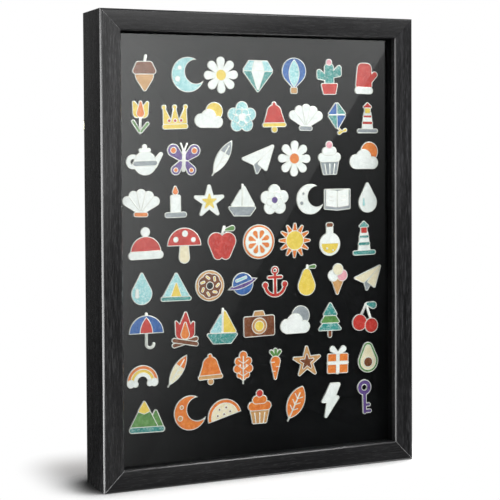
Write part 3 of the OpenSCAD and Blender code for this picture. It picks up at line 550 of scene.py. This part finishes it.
@dataclass(frozen=True)
class Enamel(Finish):
    """Soft enamel: a pigmented resin that settles a little hollow between its lines."""

    shade: str = "#ffffff"
    thick: str = "#f0f0f0"
    glitter: float = 0.0
    cloud: Pattern = Pattern(6 * MM, detail=2.0, distortion=0.6)
    dip: Pattern = Pattern(3.2 * MM, detail=1.0)
    rough: Pair = (0.2, 0.32)
    relief: Pair = (0.05 * MM, 0.6)
    flake: Pattern = Pattern(0.9 * MM)
    picked: Pair = (0.55, 0.95)  # a cell's chance: up to here no flake, from here a full one

    def paint(self, tree: Tree, shader: Node) -> None:
        """A glossy skin over pigment that gathers in clouds, with flakes if it glitters.

        Args:
            tree: The material's nodes.
            shader: Its shader.
        """
        dip = self.dip.value(tree)
        self.lay(
            shader,
            (self.cloud.value(tree), tuple(zip(MOTTLED, (self.thick, self.shade)))),
            (dip, *self.rough),
            (dip, *self.relief),
            {"Coat Weight": 0.35, "Coat Roughness": 0.08},
        )
        if self.glitter > 0:
            resin = shader.inputs["Base Color"].links[0].from_node
            plug(shader, {"Base Color": self.flakes(tree, resin)})

    def flakes(self, tree: Tree, resin: Node) -> Socket:
        """Adds glitter flakes; 0.4 mm in the enamel, drawn larger so that they show.

        Args:
            tree: The material's nodes.
            resin: The node that gives the resin's colour.

        Returns:
            The colour with its flakes.
        """
        sockets = {"Vector": self.flake.place(tree), "Scale": 1.0}
        cells = add_node(tree, "TexVoronoi", sockets)
        chance = add_node(tree, "SeparateColor", {0: cells.outputs["Color"]})
        spread = (chance, *self.picked, 0.0, self.glitter)
        sockets = {0: add_node(tree, "MapRange", dict(enumerate(spread))), 6: resin, 7: WHITE}
        return add_node(tree, "Mix", sockets, data_type="RGBA").outputs[2]


@dataclass(frozen=True)
class MouldedRubber(Finish):
    """Black moulded rubber, dull from its mould's blasted face."""

    tones: Stops = ((0.35, "#121213"), (0.7, "#242425"))
    bloom: Pattern = Pattern(3 * MM)
    pits: Pattern = Pattern(0.4 * MM, detail=2.0)
    rough: Pair = (0.6, 0.78)
    relief: Pair = (0.04 * MM, 0.6)

    def paint(self, tree: Tree, shader: Node) -> None:
        """A pale bloom in patches over a fine pitted skin.

        Args:
            tree: The material's nodes.
            shader: Its shader.
        """
        bloom, pits = self.bloom.value(tree), self.pits.value(tree)
        rough = (pits, *self.rough)
        self.lay(shader, (bloom, self.tones), rough, (pits, *self.relief))


# Each member has its own copy of the foil, with gloss and tones set to how bright that
# member shows under the light. These are lit and shaded copies of one foil, so they are
# painted light and shade. The chamfers' copies have a nearly flat pressed grain and a
# gloss set per member for the painted highlight along each chamfer.
PALE = ("#131314", "#212122", "#38383a")
CALM = ("#151516", "#1b1b1c", "#242425")
FOIL_LEFT = FoilWrappedWood("black_oak_foil_left", Run.ALONG_Z, 0.58)
FOIL_RIGHT = FoilWrappedWood("black_oak_foil_right", Run.ALONG_Z, 0.12, 0.05 * MM, *PALE)
FOIL_TOP = FoilWrappedWood("black_oak_foil_top", Run.ALONG_X, 0.66, 0.025 * MM, *CALM)
FOIL_BOTTOM = FoilWrappedWood("black_oak_foil_bottom", Run.ALONG_X, 0.22, 0.025 * MM, *CALM)
CHAMFER_SHEEN_LEFT = FoilWrappedWood("chamfer_sheen_foil_left", Run.ALONG_Z, 0.58, 0.01 * MM)
CHAMFER_SHEEN_RIGHT = FoilWrappedWood("chamfer_sheen_foil_right", Run.ALONG_Z, 0.27, 0.01 * MM)
CHAMFER_SHEEN_TOP = FoilWrappedWood("chamfer_sheen_foil_top", Run.ALONG_X, 0.12, 0.01 * MM)
CHAMFER_SHEEN_BOTTOM = FoilWrappedWood("chamfer_sheen_foil_bottom", Run.ALONG_X, 0.24, 0.01 * MM)
# The mitres' pale cut edge, partly a painted highlight, and fainter on the upper left mitre.
FOIL_EDGE_AND_HIGHLIGHT = CutFoilEdgeAndHighlight("cut_foil_edge_and_highlight")
FAINT_EDGE_AND_HIGHLIGHT = CutFoilEdgeAndHighlight("faint_foil_edge_and_highlight", "#707071", "#4a4a4b")
# The lips' painted shade: deepest on the top and left members, less deep on the bottom and
# least on the right, as the light falls on each.
LIP_SHADE_DEEP = PaintedLipShade("lip_painted_shade_deep", "#060606", "#0f0f10")
LIP_SHADE_MID = PaintedLipShade("lip_painted_shade_mid", "#0f0f0f", "#1b1b1c")
LIP_SHADE_LIGHT = PaintedLipShade("lip_painted_shade_light", "#242424", "#383839")
GLASS = FloatGlass("float_glass")
SPACER_LEVEL = ExtrudedPlastic("spacer_strip_level", Run.ALONG_X)
SPACER_UPRIGHT = ExtrudedPlastic("spacer_strip_upright", Run.ALONG_Z)
FELT = PressedFelt("black_wool_felt")
FOAM = CraftFoam("closed_cell_foam")
BOARD = Hardboard("pressed_hardboard")
ZINC = PlatedSteel("zinc_plated_steel")
BRIGHT = PlatedSteel("bright_steel", "#a9abad", "#d6d7d8", 0.2, 0.34)
NICKEL = StruckNickel("nickel_plated_pin_metal")
RUBBER = MouldedRubber("moulded_black_rubber")
ENAMELS = {
    "white": Enamel("enamel_opaque_white", "#fbfbfa", "#efefee"),
    "ivory": Enamel("enamel_opaque_ivory", "#f6ead0", "#ecdcb8"),
    "pink": Enamel("enamel_opaque_pink", "#f3b3bd", "#e899a8"),
    "red": Enamel("enamel_opaque_red", "#d23b30", "#b82a24"),
    "orange": Enamel("enamel_opaque_orange", "#f08a3a", "#e0702a"),
    "tan": Enamel("enamel_opaque_tan", "#d6a36c", "#c48d54"),
    "brown": Enamel("enamel_opaque_brown", "#854d2e", "#6c3a20"),
    "yellow": Enamel("enamel_opaque_yellow", "#f6d765", "#eac648"),
    "green": Enamel("enamel_opaque_green", "#6a9a54", "#4f7f3c"),
    "teal": Enamel("enamel_glitter_teal", "#3a9b95", "#26807b", 0.3),
    "aqua": Enamel("enamel_glitter_aqua", "#aadde0", "#8ccad0", 0.5),
    "blue": Enamel("enamel_opaque_blue", "#376cb4", "#28559a"),
    "purple": Enamel("enamel_opaque_purple", "#6e5296", "#573d7e"),
    "grey": Enamel("enamel_opaque_grey", "#a4a8ae", "#8c9197"),
    "black": Enamel("enamel_opaque_black", "#1c1d1f", "#121314"),
}


# ------------------------------------------------------------------------- modelling

JOIN_WITHIN = 0.004 * MM
FLAT_WITHIN = 0.4  # degrees


def select_only(piece: Piece) -> None:
    """Selects one piece alone and makes it the active one.

    Args:
        piece: The piece.
    """
    bpy.ops.object.select_all(action="DESELECT")
    piece.select_set(True)
    bpy.context.view_layer.objects.active = piece


def body_with(node: str) -> str:
    """Gives the name of the body that a CAD node rides on."""
    bodies = frame["record"]["behaviour"]["bodies"]
    return next(body for body, members in bodies.items() if node in members)


def dress(piece: Piece, finish: Finish) -> None:
    """Gives a piece one finish all over.

    Args:
        piece: The piece.
        finish: The finish.
    """
    if not piece.material_slots:
        piece.data.materials.append(finish.material())
    for slot in piece.material_slots:
        slot.material = finish.material()


def merged_copy(node: str, name: str) -> Piece:
    """Copies a CAD node to a new piece whose faces are joined to each other.

    Args:
        node: The CAD node's name.
        name: The new piece's name.

    Returns:
        The new piece, in the node's place, with flat faces made whole.
    """
    source = frame["nodes"][node]
    mesh = source.data.copy()
    mesh.name = name
    mesh.materials.clear()
    piece = bpy.data.objects.new(name, mesh)
    bpy.context.scene.collection.objects.link(piece)
    select_only(piece)
    bpy.ops.mesh.customdata_custom_splitnormals_clear()
    bpy.ops.object.mode_set(mode="EDIT")
    bpy.ops.mesh.reveal()
    bpy.ops.mesh.select_all(action="SELECT")
    bpy.ops.mesh.remove_doubles(threshold=JOIN_WITHIN)
    bpy.ops.mesh.dissolve_limited(angle_limit=math.radians(FLAT_WITHIN))
    bpy.ops.mesh.select_all(action="DESELECT")
    bpy.ops.object.mode_set(mode="OBJECT")
    return piece


def ease_edges(piece: Piece, width: float, steps: int, angle: float) -> None:
    """Rounds a piece's edges and shades it smooth between them.

    Args:
        piece: The piece.
        width: How wide the rounding is, in metres.
        steps: The faces across the rounding.
        angle: The least angle of an edge to be rounded, in degrees.
    """
    select_only(piece)
    if width > 0:
        bpy.ops.object.modifier_add(type="BEVEL")
        bevel = piece.modifiers[-1]
        bevel.width = width
        bevel.segments = steps
        bevel.limit_method = "ANGLE"
        bevel.angle_limit = math.radians(angle)
        bevel.use_clamp_overlap = True
        bpy.ops.object.modifier_apply(modifier=bevel.name)
    bpy.ops.object.shade_smooth_by_angle(angle=math.radians(angle), keep_sharp_edges=True)


def stand_in(
    node: str, finish: Finish, width: float = 0.0, steps: int = 1, angle: float = 35.0
) -> Piece:
    """Makes a finished piece that stands for a CAD node.

    Args:
        node: The CAD node's name.
        finish: The piece's finish.
        width: How wide its edges are rounded, in metres.
        steps: The faces across the rounding.
        angle: The least angle of an edge, in degrees.

    Returns:
        The finished piece, riding on the node's body.
    """
    piece = merged_copy(node, "case_" + node)
    ease_edges(piece, width, steps, angle)
    dress(piece, finish)
    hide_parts(node)
    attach(piece, body_with(node))
    return piece


@dataclass
class SubAssembly:
    """A group of pieces that are built and dressed together."""

    pieces: list[Piece] = field(default_factory=list)

    def build(self) -> None:
        """Makes the group's pieces."""
        raise NotImplementedError

    def report(self) -> None:
        """Logs the name and the face count of each piece."""
        for piece in self.pieces:
            count = len(piece.data.polygons)
            LOG.info("%s: %s, %d faces", type(self).__name__, piece.name, count)


class FramePart(Enum):
    """The parts of a member with finishes of their own, by number in its materials."""

    SEAM = 1
    LIP = 2
    CHAMFER = 3
    FAINT_SEAM = 4


@dataclass
class BoxFrame(SubAssembly):
    """The four mitred members of the frame and the nails in its corners.

    A slope is how far a face's normal points along Y, and so backwards.
    """

    arris: float = 0.2 * MM
    slack: float = 0.2 * MM
    seam_slope: float = -0.2
    chamfer_slopes: Pair = (-0.95, -0.3)

    def build(self) -> None:
        """Makes each member with its sharp edges eased, so that its mitres show."""
        # Each member gets its own lit or shaded copy of the foil, and of the chamfer's painted
        # highlight.
        for node, finish, chamfer_sheen, lip in (
            ("top_rail", FOIL_TOP, CHAMFER_SHEEN_TOP, LIP_SHADE_DEEP),
            ("bottom_rail", FOIL_BOTTOM, CHAMFER_SHEEN_BOTTOM, LIP_SHADE_MID),
            ("left_stile", FOIL_LEFT, CHAMFER_SHEEN_LEFT, LIP_SHADE_DEEP),
            ("right_stile", FOIL_RIGHT, CHAMFER_SHEEN_RIGHT, LIP_SHADE_LIGHT),
        ):
            member = stand_in(node, finish, self.arris, steps=2)
            for extra in (FOIL_EDGE_AND_HIGHLIGHT, lip, chamfer_sheen, FAINT_EDGE_AND_HIGHLIGHT):
                member.data.materials.append(extra.material())
            self.mark_edges(member)
            self.pieces.append(member)
        nails = frame["nodes"]["corner_v_nails"]
        dress(nails, BRIGHT)
        self.pieces.append(nails)

    def mark_edges(self, member: Piece) -> None:
        """Gives a member's mitres, chamfers and lip their own finishes.

        A face is told by where it lies and by its slope.

        Args:
            member: The member, with a finish for each part of it.
        """
        glass_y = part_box("glazing")[0].y
        low_corner, high_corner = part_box("left_stile")
        half_width, half_height = -low_corner.x, high_corner.z / 2
        width_of_face = high_corner.x - low_corner.x
        for face in member.data.polygons:
            from_side = half_width - abs(face.center.x)
            from_end = half_height - abs(face.center.z - half_height)
            inwards = min(from_side, from_end)
            slope = face.normal.y
            if abs(from_side - from_end) < self.arris:
                # Only the lower mitres and, fainter, the upper left one get the pale edge.
                # This is a painted highlight on the mitres that catch the light.
                low, left = face.center.z < half_height, face.center.x < 0
                if slope < self.seam_slope and (low or left):
                    part = FramePart.SEAM if low else FramePart.FAINT_SEAM
                    face.material_index = part.value
            elif self.chamfer_slopes[0] < slope < self.chamfer_slopes[1]:
                face.material_index = FramePart.CHAMFER.value
            elif face.center.y < glass_y and inwards > width_of_face - self.slack:
                if slope > self.chamfer_slopes[1]:
                    # The lip's inner wall takes its member's painted shade.
                    face.material_index = FramePart.LIP.value


@dataclass
class Glazing(SubAssembly):
    """The pane and the strips that hold it off the board."""

    edge: float = 0.25 * MM

    def build(self) -> None:
        """Makes the pane with ground edges, and dresses the strips."""
        self.pieces.append(stand_in("glazing", GLASS, self.edge))
        for side, finish in (
            ("top", SPACER_LEVEL),
            ("bottom", SPACER_LEVEL),
            ("left", SPACER_UPRIGHT),
            ("right", SPACER_UPRIGHT),
        ):
            self.pieces.append(stand_in("spacer_" + side, finish, self.edge, steps=2))


@dataclass
class PinBoard(SubAssembly):
    """The felt, the foam that takes the pins' posts, and the hardboard behind."""

    fold: float = 0.5 * MM
    board_edge: float = 0.3 * MM
    foam_depth: float = 12 * MM

    def build(self) -> None:
        """Makes the felt with soft folded edges, the foam and the hardboard."""
        felt = stand_in("pin_cloth", FELT, self.fold, steps=3, angle=60)
        foam = frame["nodes"]["foam_board"]
        dress(foam, FOAM)
        panel = stand_in("back_panel", BOARD, self.board_edge)
        self.pieces += [felt, foam, panel]


@dataclass
class TurnButtons(SubAssembly):
    """The eight stamped buttons and their rivets."""

    burr: float = 0.18 * MM

    def build(self) -> None:
        """Makes each button with its stamped edges rounded."""
        nodes = [n for n in frame["nodes"] if n.startswith("turn_button_")]
        for node in sorted(nodes):
            self.pieces.append(stand_in(node, ZINC, self.burr, steps=2))
        self.pieces.append(stand_in("button_rivets", BRIGHT, angle=40))


@dataclass
class WallHangers(SubAssembly):
    """The straps, rings and screws that hang the case, and the bumpers at its foot."""

    burr: float = 0.15 * MM
    rim: float = 0.35 * MM

    def build(self) -> None:
        """Makes the hangers with eased edges, and the bumpers with a soft rim."""
        for side in ("left", "right"):
            strap = stand_in("hanger_strap_" + side, ZINC, self.burr, steps=2)
            self.pieces += [strap, stand_in("hanger_ring_" + side, ZINC)]
        self.pieces.append(stand_in("hanger_screws", ZINC, angle=40))
        self.pieces.append(stand_in("wall_bumpers", RUBBER, self.rim, steps=3))


@dataclass
class EnamelPins(SubAssembly):
    """Nine rows of struck pins, and the enamel in them by colour."""

    struck_edge: float = 0.07 * MM
    rows: int = 9

    def build(self) -> None:
        """Makes the struck metal with soft edges, and pours each enamel."""
        for row in range(1, self.rows + 1):
            name = f"pins_row_{row}"
            self.pieces.append(stand_in(name, NICKEL, self.struck_edge, angle=50))
        for shade, finish in ENAMELS.items():
            self.pieces.append(stand_in("enamel_" + shade, finish))


# ---------------------------------------------------------------------------- studio


def shown_rays(tree: Tree) -> Node:
    """Tells the rays that meet the white background from those that light the case.

    Args:
        tree: The node tree of the world or of a material.

    Returns:
        A node that gives 1 for camera, glossy and transmission rays, and 0 for others.
    """
    path = add_node(tree, "LightPath").outputs
    seen: Any = path["Is Camera Ray"]
    for rays in ("Is Glossy Ray", "Is Transmission Ray"):
        seen = add_node(tree, "Math", {0: seen, 1: path[rays]}, operation="MAXIMUM")
    return seen


@dataclass(frozen=True)
class Lamp:
    """A soft square lamp that shines at the case."""

    name: str
    at: Triple
    side: float
    power: float

    def add(self, target: Vector) -> None:
        """Adds the lamp, turned to a point.

        Args:
            target: The point.
        """
        light = bpy.data.lights.new(self.name, "AREA")
        light.shape = "SQUARE"
        light.size = self.side
        light.energy = self.power
        lamp = bpy.data.objects.new(self.name, light)
        lamp.location = self.at
        away = target - Vector(self.at)
        lamp.rotation_euler = away.to_track_quat("-Z", "Y").to_euler()
        lamp.visible_glossy = False
        bpy.context.scene.collection.objects.link(lamp)


@dataclass(frozen=True)
class Shade:
    """A painted shade in the floor's colour beside whatever stands within its reach.

    It is deep where the floor is least open to the room, and clear where it is fully
    open; both are tones of the floor.
    """

    reach: float
    least_open: float
    deep: float
    clear: float
    leaning: Triple = (0.7, -0.4, 0.6)
    samples: int = 8

    def tone(self, tree: Tree) -> Node:
        """Adds the shade to the floor.

        It looks up at a slant, so that it falls to one side of the case only.

        Args:
            tree: The floor's nodes.

        Returns:
            The node that gives the floor's tone.
        """
        slant = add_node(tree, "CombineXYZ", dict(enumerate(self.leaning)))
        sockets = {"Distance": self.reach, "Normal": slant}
        near = add_node(tree, "AmbientOcclusion", sockets, samples=self.samples)
        spread = (near.outputs["AO"], self.least_open, 1.0, self.deep, self.clear)
        return add_node(tree, "MapRange", dict(enumerate(spread)))


@dataclass
class Floor:
    """A pale floor that reads white and keeps the case's shadow, deepened by painted shade.

    Past the shadow it goes over to plain white. The reach is counted from a patch under
    the case's back and the shadow, whose middle and half sizes are given.
    """

    side: float = 12.0
    lit_tone: float = 0.8
    soft: Shade = Shade(reach=0.08, least_open=0.33, deep=0.02, clear=1.38)
    touching: Shade = Shade(reach=0.025, least_open=0.4, deep=0.3, clear=1.0)
    middle: Triple = (0, 0.03, 0)
    half: Triple = (0.15, 0.03, 0)
    reach: Triple = (0.06, 0.09, 1)
    fade_from: float = 0.1

    def white_share(self, tree: Tree) -> Node:
        """Gives how far a place of the floor has gone over to white.

        Args:
            tree: The floor's nodes.

        Returns:
            The node that gives the share, from 0 to 1.
        """
        where: Any = add_node(tree, "TexCoord").outputs["Object"]
        for operation, *value in (
            ("SUBTRACT", self.middle),
            ("ABSOLUTE",),
            ("SUBTRACT", self.half),
            ("MAXIMUM", (0, 0, 0)),
            ("DIVIDE", self.reach),
        ):
            sockets = dict(enumerate((where, *value)))
            where = add_node(tree, "VectorMath", sockets, operation=operation)
        far = add_node(tree, "VectorMath", {0: where}, operation="LENGTH")
        sockets = {0: far.outputs["Value"], 1: self.fade_from, 2: 1.0}
        return add_node(tree, "MapRange", sockets, interpolation_type="SMOOTHSTEP")

    def paint(self, tree: Tree) -> None:
        """Adds the floor's own nodes.

        Args:
            tree: The floor's nodes.
        """
        shown = shown_rays(tree)
        # The floor's colour is darkened near the case by both painted shades.
        sockets = {0: self.soft.tone(tree), 1: self.touching.tone(tree)}
        tone = add_node(tree, "Math", sockets, operation="MULTIPLY")
        sockets = {0: shown, 2: self.lit_tone, 3: tone}
        level = add_node(tree, "Mix", sockets, data_type="FLOAT")
        paint = add_node(tree, "BsdfDiffuse", {"Color": level})
        white = add_node(tree, "Emission", {"Color": WHITE, "Strength": 1.0})
        sockets = {0: self.white_share(tree), 1: shown}
        share = add_node(tree, "Math", sockets, operation="MULTIPLY")
        mixed = add_node(tree, "MixShader", {0: share, 1: paint, 2: white})
        add_node(tree, "OutputMaterial", {"Surface": mixed})

    def build(self) -> None:
        """Lays the floor; mirrored rays pass it and meet the white world instead."""
        bpy.ops.object.select_all(action="DESELECT")
        bpy.ops.mesh.primitive_plane_add(size=self.side, location=(0, 0, 0))
        floor = bpy.context.object
        floor.name = "floor"
        floor.visible_glossy = False
        floor.visible_transmission = False
        made = bpy.data.materials.new("pale_floor")
        self.paint(empty_tree(made))
        floor.data.materials.append(made)


@dataclass(frozen=True)
class Card:
    """A card that only mirrored and refracted rays meet.

    Its turn is about X, Y and Z, in degrees, from standing upright across Y. An upright
    card's glow is its strength at its foot and at its top, and a level card glows with
    the mean of the two all over.
    """

    name: str
    at: Triple
    turn: Triple
    size: Pair
    glow: Pair = (1.0, 1.0)

    def material(self) -> Material:
        """Makes a glow that changes with height.

        Returns:
            The material.
        """
        made = bpy.data.materials.new(self.name)
        tree = empty_tree(made)
        where = add_node(tree, "TexCoord").outputs["Object"]
        height = add_node(tree, "SeparateXYZ", {0: where}).outputs["Z"]
        low, high = (self.at[2] + side * self.size[1] / 2 for side in (-1, 1))
        strength = add_node(tree, "MapRange", dict(enumerate((height, low, high, *self.glow))))
        shine = add_node(tree, "Emission", {"Color": WHITE, "Strength": strength})
        add_node(tree, "OutputMaterial", {"Surface": shine})
        return made

    def add(self, material: Material) -> None:
        """Puts the card up.

        Args:
            material: Its material.
        """
        bpy.ops.object.select_all(action="DESELECT")
        bpy.ops.mesh.primitive_plane_add(size=1, location=(0, 0, 0))
        card = bpy.context.object
        card.name = self.name
        turn = Euler(tuple(math.radians(angle) for angle in self.turn))
        card.data.transform(
            Matrix.Translation(self.at)
            @ turn.to_matrix().to_4x4()
            @ Matrix.Rotation(math.radians(90), 4, "X")
            @ Matrix.Diagonal((self.size[0], self.size[1], 1, 1))
        )
        for rays in ("camera", "diffuse", "shadow", "volume_scatter"):
            setattr(card, "visible_" + rays, False)
        card.data.materials.append(material)


@dataclass(frozen=True)
class GlassPlace:
    """The place on the glass that shows a point of the screen, from the glass's middle."""

    tree: Tree
    x: Node
    z: Node

    def inside(self, window: Window) -> Node:
        """Gives 1 inside a window of the glass, and 0 outside it.

        Args:
            window: The window.

        Returns:
            The node that gives it.
        """
        held: Any = 1.0
        for axis, low, high in ((self.x, *window[:2]), (self.z, *window[2:])):
            for operation, limit in (("GREATER_THAN", low), ("LESS_THAN", high)):
                side = add_node(self.tree, "Math", {0: axis, 1: limit}, operation=operation)
                held = add_node(self.tree, "Math", {0: held, 1: side}, operation="MULTIPLY")
        return held

    def within(self, span: Pair) -> "GlassPlace":
        """Keeps the place within a span about the glass's middle.

        Args:
            span: The span's width and height.

        Returns:
            The place inside the span.
        """
        kept = []
        for axis, size in ((self.x, span[0]), (self.z, span[1])):
            for operation, limit in (("MINIMUM", size / 2), ("MAXIMUM", -size / 2)):
                axis = add_node(self.tree, "Math", {0: axis, 1: limit}, operation=operation)
            kept.append(axis)
        return GlassPlace(self.tree, *kept)

    def falloff(self, terms: tuple[float, ...]) -> Node:
        """Adds up a falloff over the glass, and squares it.

        Args:
            terms: Its terms for 1, x, z, xz, xx and zz.

        Returns:
            The node that gives its strength.
        """
        products = [self.x, self.z]
        for pair in ((self.x, self.z), (self.x, self.x), (self.z, self.z)):
            sockets = dict(enumerate(pair))
            products.append(add_node(self.tree, "Math", sockets, operation="MULTIPLY"))
        total: Any = terms[0]
        for term, product in zip(terms[1:], products):
            sockets = {0: product, 1: term, 2: total}
            total = add_node(self.tree, "Math", sockets, operation="MULTIPLY_ADD")
        total = add_node(self.tree, "Math", {0: total, 1: 0.0}, operation="MAXIMUM")
        return add_node(self.tree, "Math", {0: total, 1: total}, operation="MULTIPLY")


@dataclass
class Softbox:
    """The softbox on a dark screen that the glass mirrors.

    The screen is parallel to the glass, so seen by reflection a point of it lies at one
    point of the glass, and the glow is written in the glass's own X and Z, from its
    middle. The softbox ends at a slanting edge, below which the room is dark; the edge is
    given by its slope and by one point of it, in the case's X and Z. Past the glass the
    screen holds what the frame mirrors: little at the lower right, more towards the upper
    left, and a rise in both upper corners.
    """

    eye: Triple
    card: Card = Card("screen_card", (0.6, -1.35, 0.2), (0, 0, 0), (4.2, 4.2))
    bright_sum: tuple[float, ...] = (0.607, -2.155, 3.321, 7.169, 7.769, -2.825)
    dark_sum: tuple[float, ...] = (0.45, -2.652, 2.518, -2.305, 9.931, 3.088)
    edge_at: Pair = (0.0283, 0.2373)
    edge_slope: float = 1.52
    middle_z: float = 0.21
    span: Pair = (0.32, 0.4)
    glass_window: Window = (-0.14, 0.129, -0.1898, 0.1893)
    frame_window: Window = (-0.14, 0.138, -0.195, 0.193)
    least_glow: float = 0.3
    corner_glow: float = 1.3
    ridge_glow: float = 0.9
    ridge_power: float = 8.0

    def on_glass(self, tree: Tree) -> GlassPlace:
        """Turns a place on the screen to the one on the glass that shows it.

        Args:
            tree: The screen's nodes.

        Returns:
            The place on the glass.
        """
        glass_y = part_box("glazing")[0].y
        mirror_y = 2 * glass_y - self.eye[1]
        reach = (self.card.at[1] - mirror_y) / (glass_y - mirror_y)
        where = add_node(tree, "TexCoord").outputs["Object"]
        split = add_node(tree, "SeparateXYZ", {0: where}).outputs
        axes = []
        for axis, eye, zero in (("X", self.eye[0], 0.0), ("Z", self.eye[2], self.middle_z)):
            sockets = {0: split[axis], 1: eye}
            near = add_node(tree, "Math", sockets, operation="SUBTRACT")
            sockets = {0: near, 1: 1 / reach, 2: eye - zero}
            axes.append(add_node(tree, "Math", sockets, operation="MULTIPLY_ADD"))
        return GlassPlace(tree, *axes)

    def over_glass(self, place: GlassPlace) -> Node:
        """Gives the glow that the glass mirrors.

        Args:
            place: The place on the glass.

        Returns:
            The node that gives the glow's strength.
        """
        tree = place.tree
        level = self.edge_slope * self.edge_at[0] - self.edge_at[1] + self.middle_z
        sockets = {0: place.x, 1: -self.edge_slope, 2: level}
        edge = add_node(tree, "Math", sockets, operation="MULTIPLY_ADD")
        above = add_node(tree, "Math", {0: edge, 1: place.z}, operation="ADD")
        box = add_node(tree, "Math", {0: above, 1: 0.0}, operation="GREATER_THAN")
        dark, bright = place.falloff(self.dark_sum), place.falloff(self.bright_sum)
        return add_node(tree, "Mix", {0: box, 2: dark, 3: bright}, data_type="FLOAT")

    def round_frame(self, place: GlassPlace) -> Node:
        """Gives the glow that the frame mirrors.

        Args:
            place: The place on the glass.

        Returns:
            The node that gives the glow's strength.
        """
        wide, tall = self.span
        steps: dict[Any, Any] = {"x": place.x, "z": place.z}
        for name, operation, *values in (
            ("from_right", "MULTIPLY_ADD", "x", -1 / wide, 0.5),
            ("from_low", "MULTIPLY_ADD", "z", 1 / tall, 0.5),
            ("corner", "MULTIPLY", "from_right", "from_low"),
            ("corner", "MULTIPLY", "corner", "corner"),
            ("around", "MULTIPLY_ADD", "corner", self.corner_glow, self.least_glow),
            ("ridge", "POWER", "from_low", self.ridge_power),
            ("aside", "MULTIPLY", "x", 2 / wide),
            ("aside", "MULTIPLY", "aside", "aside"),
            ("ridge", "MULTIPLY", "ridge", "aside"),
            ("around", "MULTIPLY_ADD", "ridge", self.ridge_glow, "around"),
        ):
            sockets = {at: steps.get(value, value) for at, value in enumerate(values)}
            steps[name] = add_node(place.tree, "Math", sockets, operation=operation)
        return steps["around"]

    def build(self) -> None:
        """Makes the screen with its glow."""
        made = bpy.data.materials.new("softbox_glow")
        tree = empty_tree(made)
        place = self.on_glass(tree)
        framed = place.inside(self.frame_window)
        glazed = place.inside(self.glass_window)
        place = place.within(self.span)
        outside = add_node(tree, "Math", {0: 1.0, 1: framed}, operation="SUBTRACT")
        sockets = {0: self.over_glass(place), 1: glazed}
        veil = add_node(tree, "Math", sockets, operation="MULTIPLY")
        sockets = {0: self.round_frame(place), 1: outside, 2: veil}
        strength = add_node(tree, "Math", sockets, operation="MULTIPLY_ADD")
        shine = add_node(tree, "Emission", {"Color": WHITE, "Strength": strength})
        add_node(tree, "OutputMaterial", {"Surface": shine})
        self.card.add(made)


@dataclass
class Studio:
    """The camera, the lamps, the pale floor and what the case mirrors."""

    camera_at: Triple = (-0.496, -1.0863, 0.3012)
    yaw: float = -22.75
    pitch: float = -1.78
    roll: float = 0.36
    focal: float = 2.583
    shift: Pair = (0.0758, -0.1281)
    sensor: float = 36.0
    ambient: float = 0.3
    aim: Triple = (0, 0, 0.2)
    lamps: tuple[Lamp, ...] = (
        Lamp("key_lamp", (1.3, -1.0, 1.4), 1.3, 50.0),
        Lamp("fill_lamp", (-1.3, -1.2, 0.8), 1.0, 3.0),
        Lamp("back_lamp", (0.9, 1.7, 1.3), 1.2, 12.0),
    )
    cards: tuple[Card, ...] = (
        Card("side_card", (-0.81, 1.37, 0.2), (0, 0, 18), (1.72, 1.8), (0.0, 0.14)),
        Card("left_edge_card", (-1.57, -0.42, 0.05), (0, 0, 110), (0.7, 2.2), (17, 10.5)),
        Card("right_edge_card", (-1.47, -1.1, 0.1), (0, 0, 122), (0.6, 1.5), (8, 8)),
        Card("top_card", (0.68, -0.5, 1.5), (90, 0, 0), (0.9, 0.34), (32, 32)),
        Card("low_card", (0.42, -0.14, -0.5), (90, 0, 0), (0.5, 0.2), (8, 8)),
        Card("back_right_card", (1.3, 2.4, 0), (0, 0, -20), (2.6, 3.2), (0.7, 1.1)),
        Card("back_left_card", (-2.3, 1.9, 0), (0, 0, 50), (1.8, 3.2), (0.7, 1.1)),
    )

    def camera(self) -> None:
        """Places the camera by its yaw, pitch and roll about its own line of sight."""
        data = bpy.data.cameras.new("camera")
        data.sensor_width = self.sensor
        data.lens = self.focal * data.sensor_width
        data.shift_x, data.shift_y = self.shift
        camera = bpy.data.objects.new("camera", data)
        upright = Matrix.Rotation(math.radians(90), 3, "X")
        turn = (
            Matrix.Rotation(math.radians(self.yaw), 3, "Z")
            @ Matrix.Rotation(math.radians(self.pitch), 3, "X")
            @ Matrix.Rotation(math.radians(self.roll), 3, "Y")
        )
        stand = Matrix.Translation(self.camera_at)
        camera.matrix_world = stand @ (turn @ upright).to_4x4()
        bpy.context.scene.collection.objects.link(camera)
        bpy.context.scene.camera = camera

    def world(self) -> None:
        """White where it is looked at, mirrored or refracted, and plain light elsewhere."""
        world = bpy.data.worlds.new("studio")
        bpy.context.scene.world = world
        tree = empty_tree(world)
        plain = add_node(tree, "Background", {"Color": WHITE, "Strength": self.ambient})
        white = add_node(tree, "Background", {"Color": WHITE, "Strength": 1.0})
        mixed = add_node(tree, "MixShader", {0: shown_rays(tree), 1: plain, 2: white})
        add_node(tree, "OutputWorld", {"Surface": mixed})

    def run(self) -> None:
        """Sets up the whole studio."""
        bpy.context.scene.view_settings.view_transform = "Standard"
        self.camera()
        self.world()
        Floor().build()
        Softbox(self.camera_at).build()
        for card in self.cards:
            card.add(card.material())
        for lamp in self.lamps:
            lamp.add(Vector(self.aim))


# ------------------------------------------------------------------------------ main


def main() -> None:
    """Builds the case, group by group, then sets up the studio."""
    logging.basicConfig(level=logging.INFO, format="%(message)s")
    for group in (
        BoxFrame(),
        Glazing(),
        PinBoard(),
        TurnButtons(),
        WallHangers(),
        EnamelPins(),
    ):
        group.build()
        group.report()
    Studio().run()


if __name__ == "__main__":
    main()
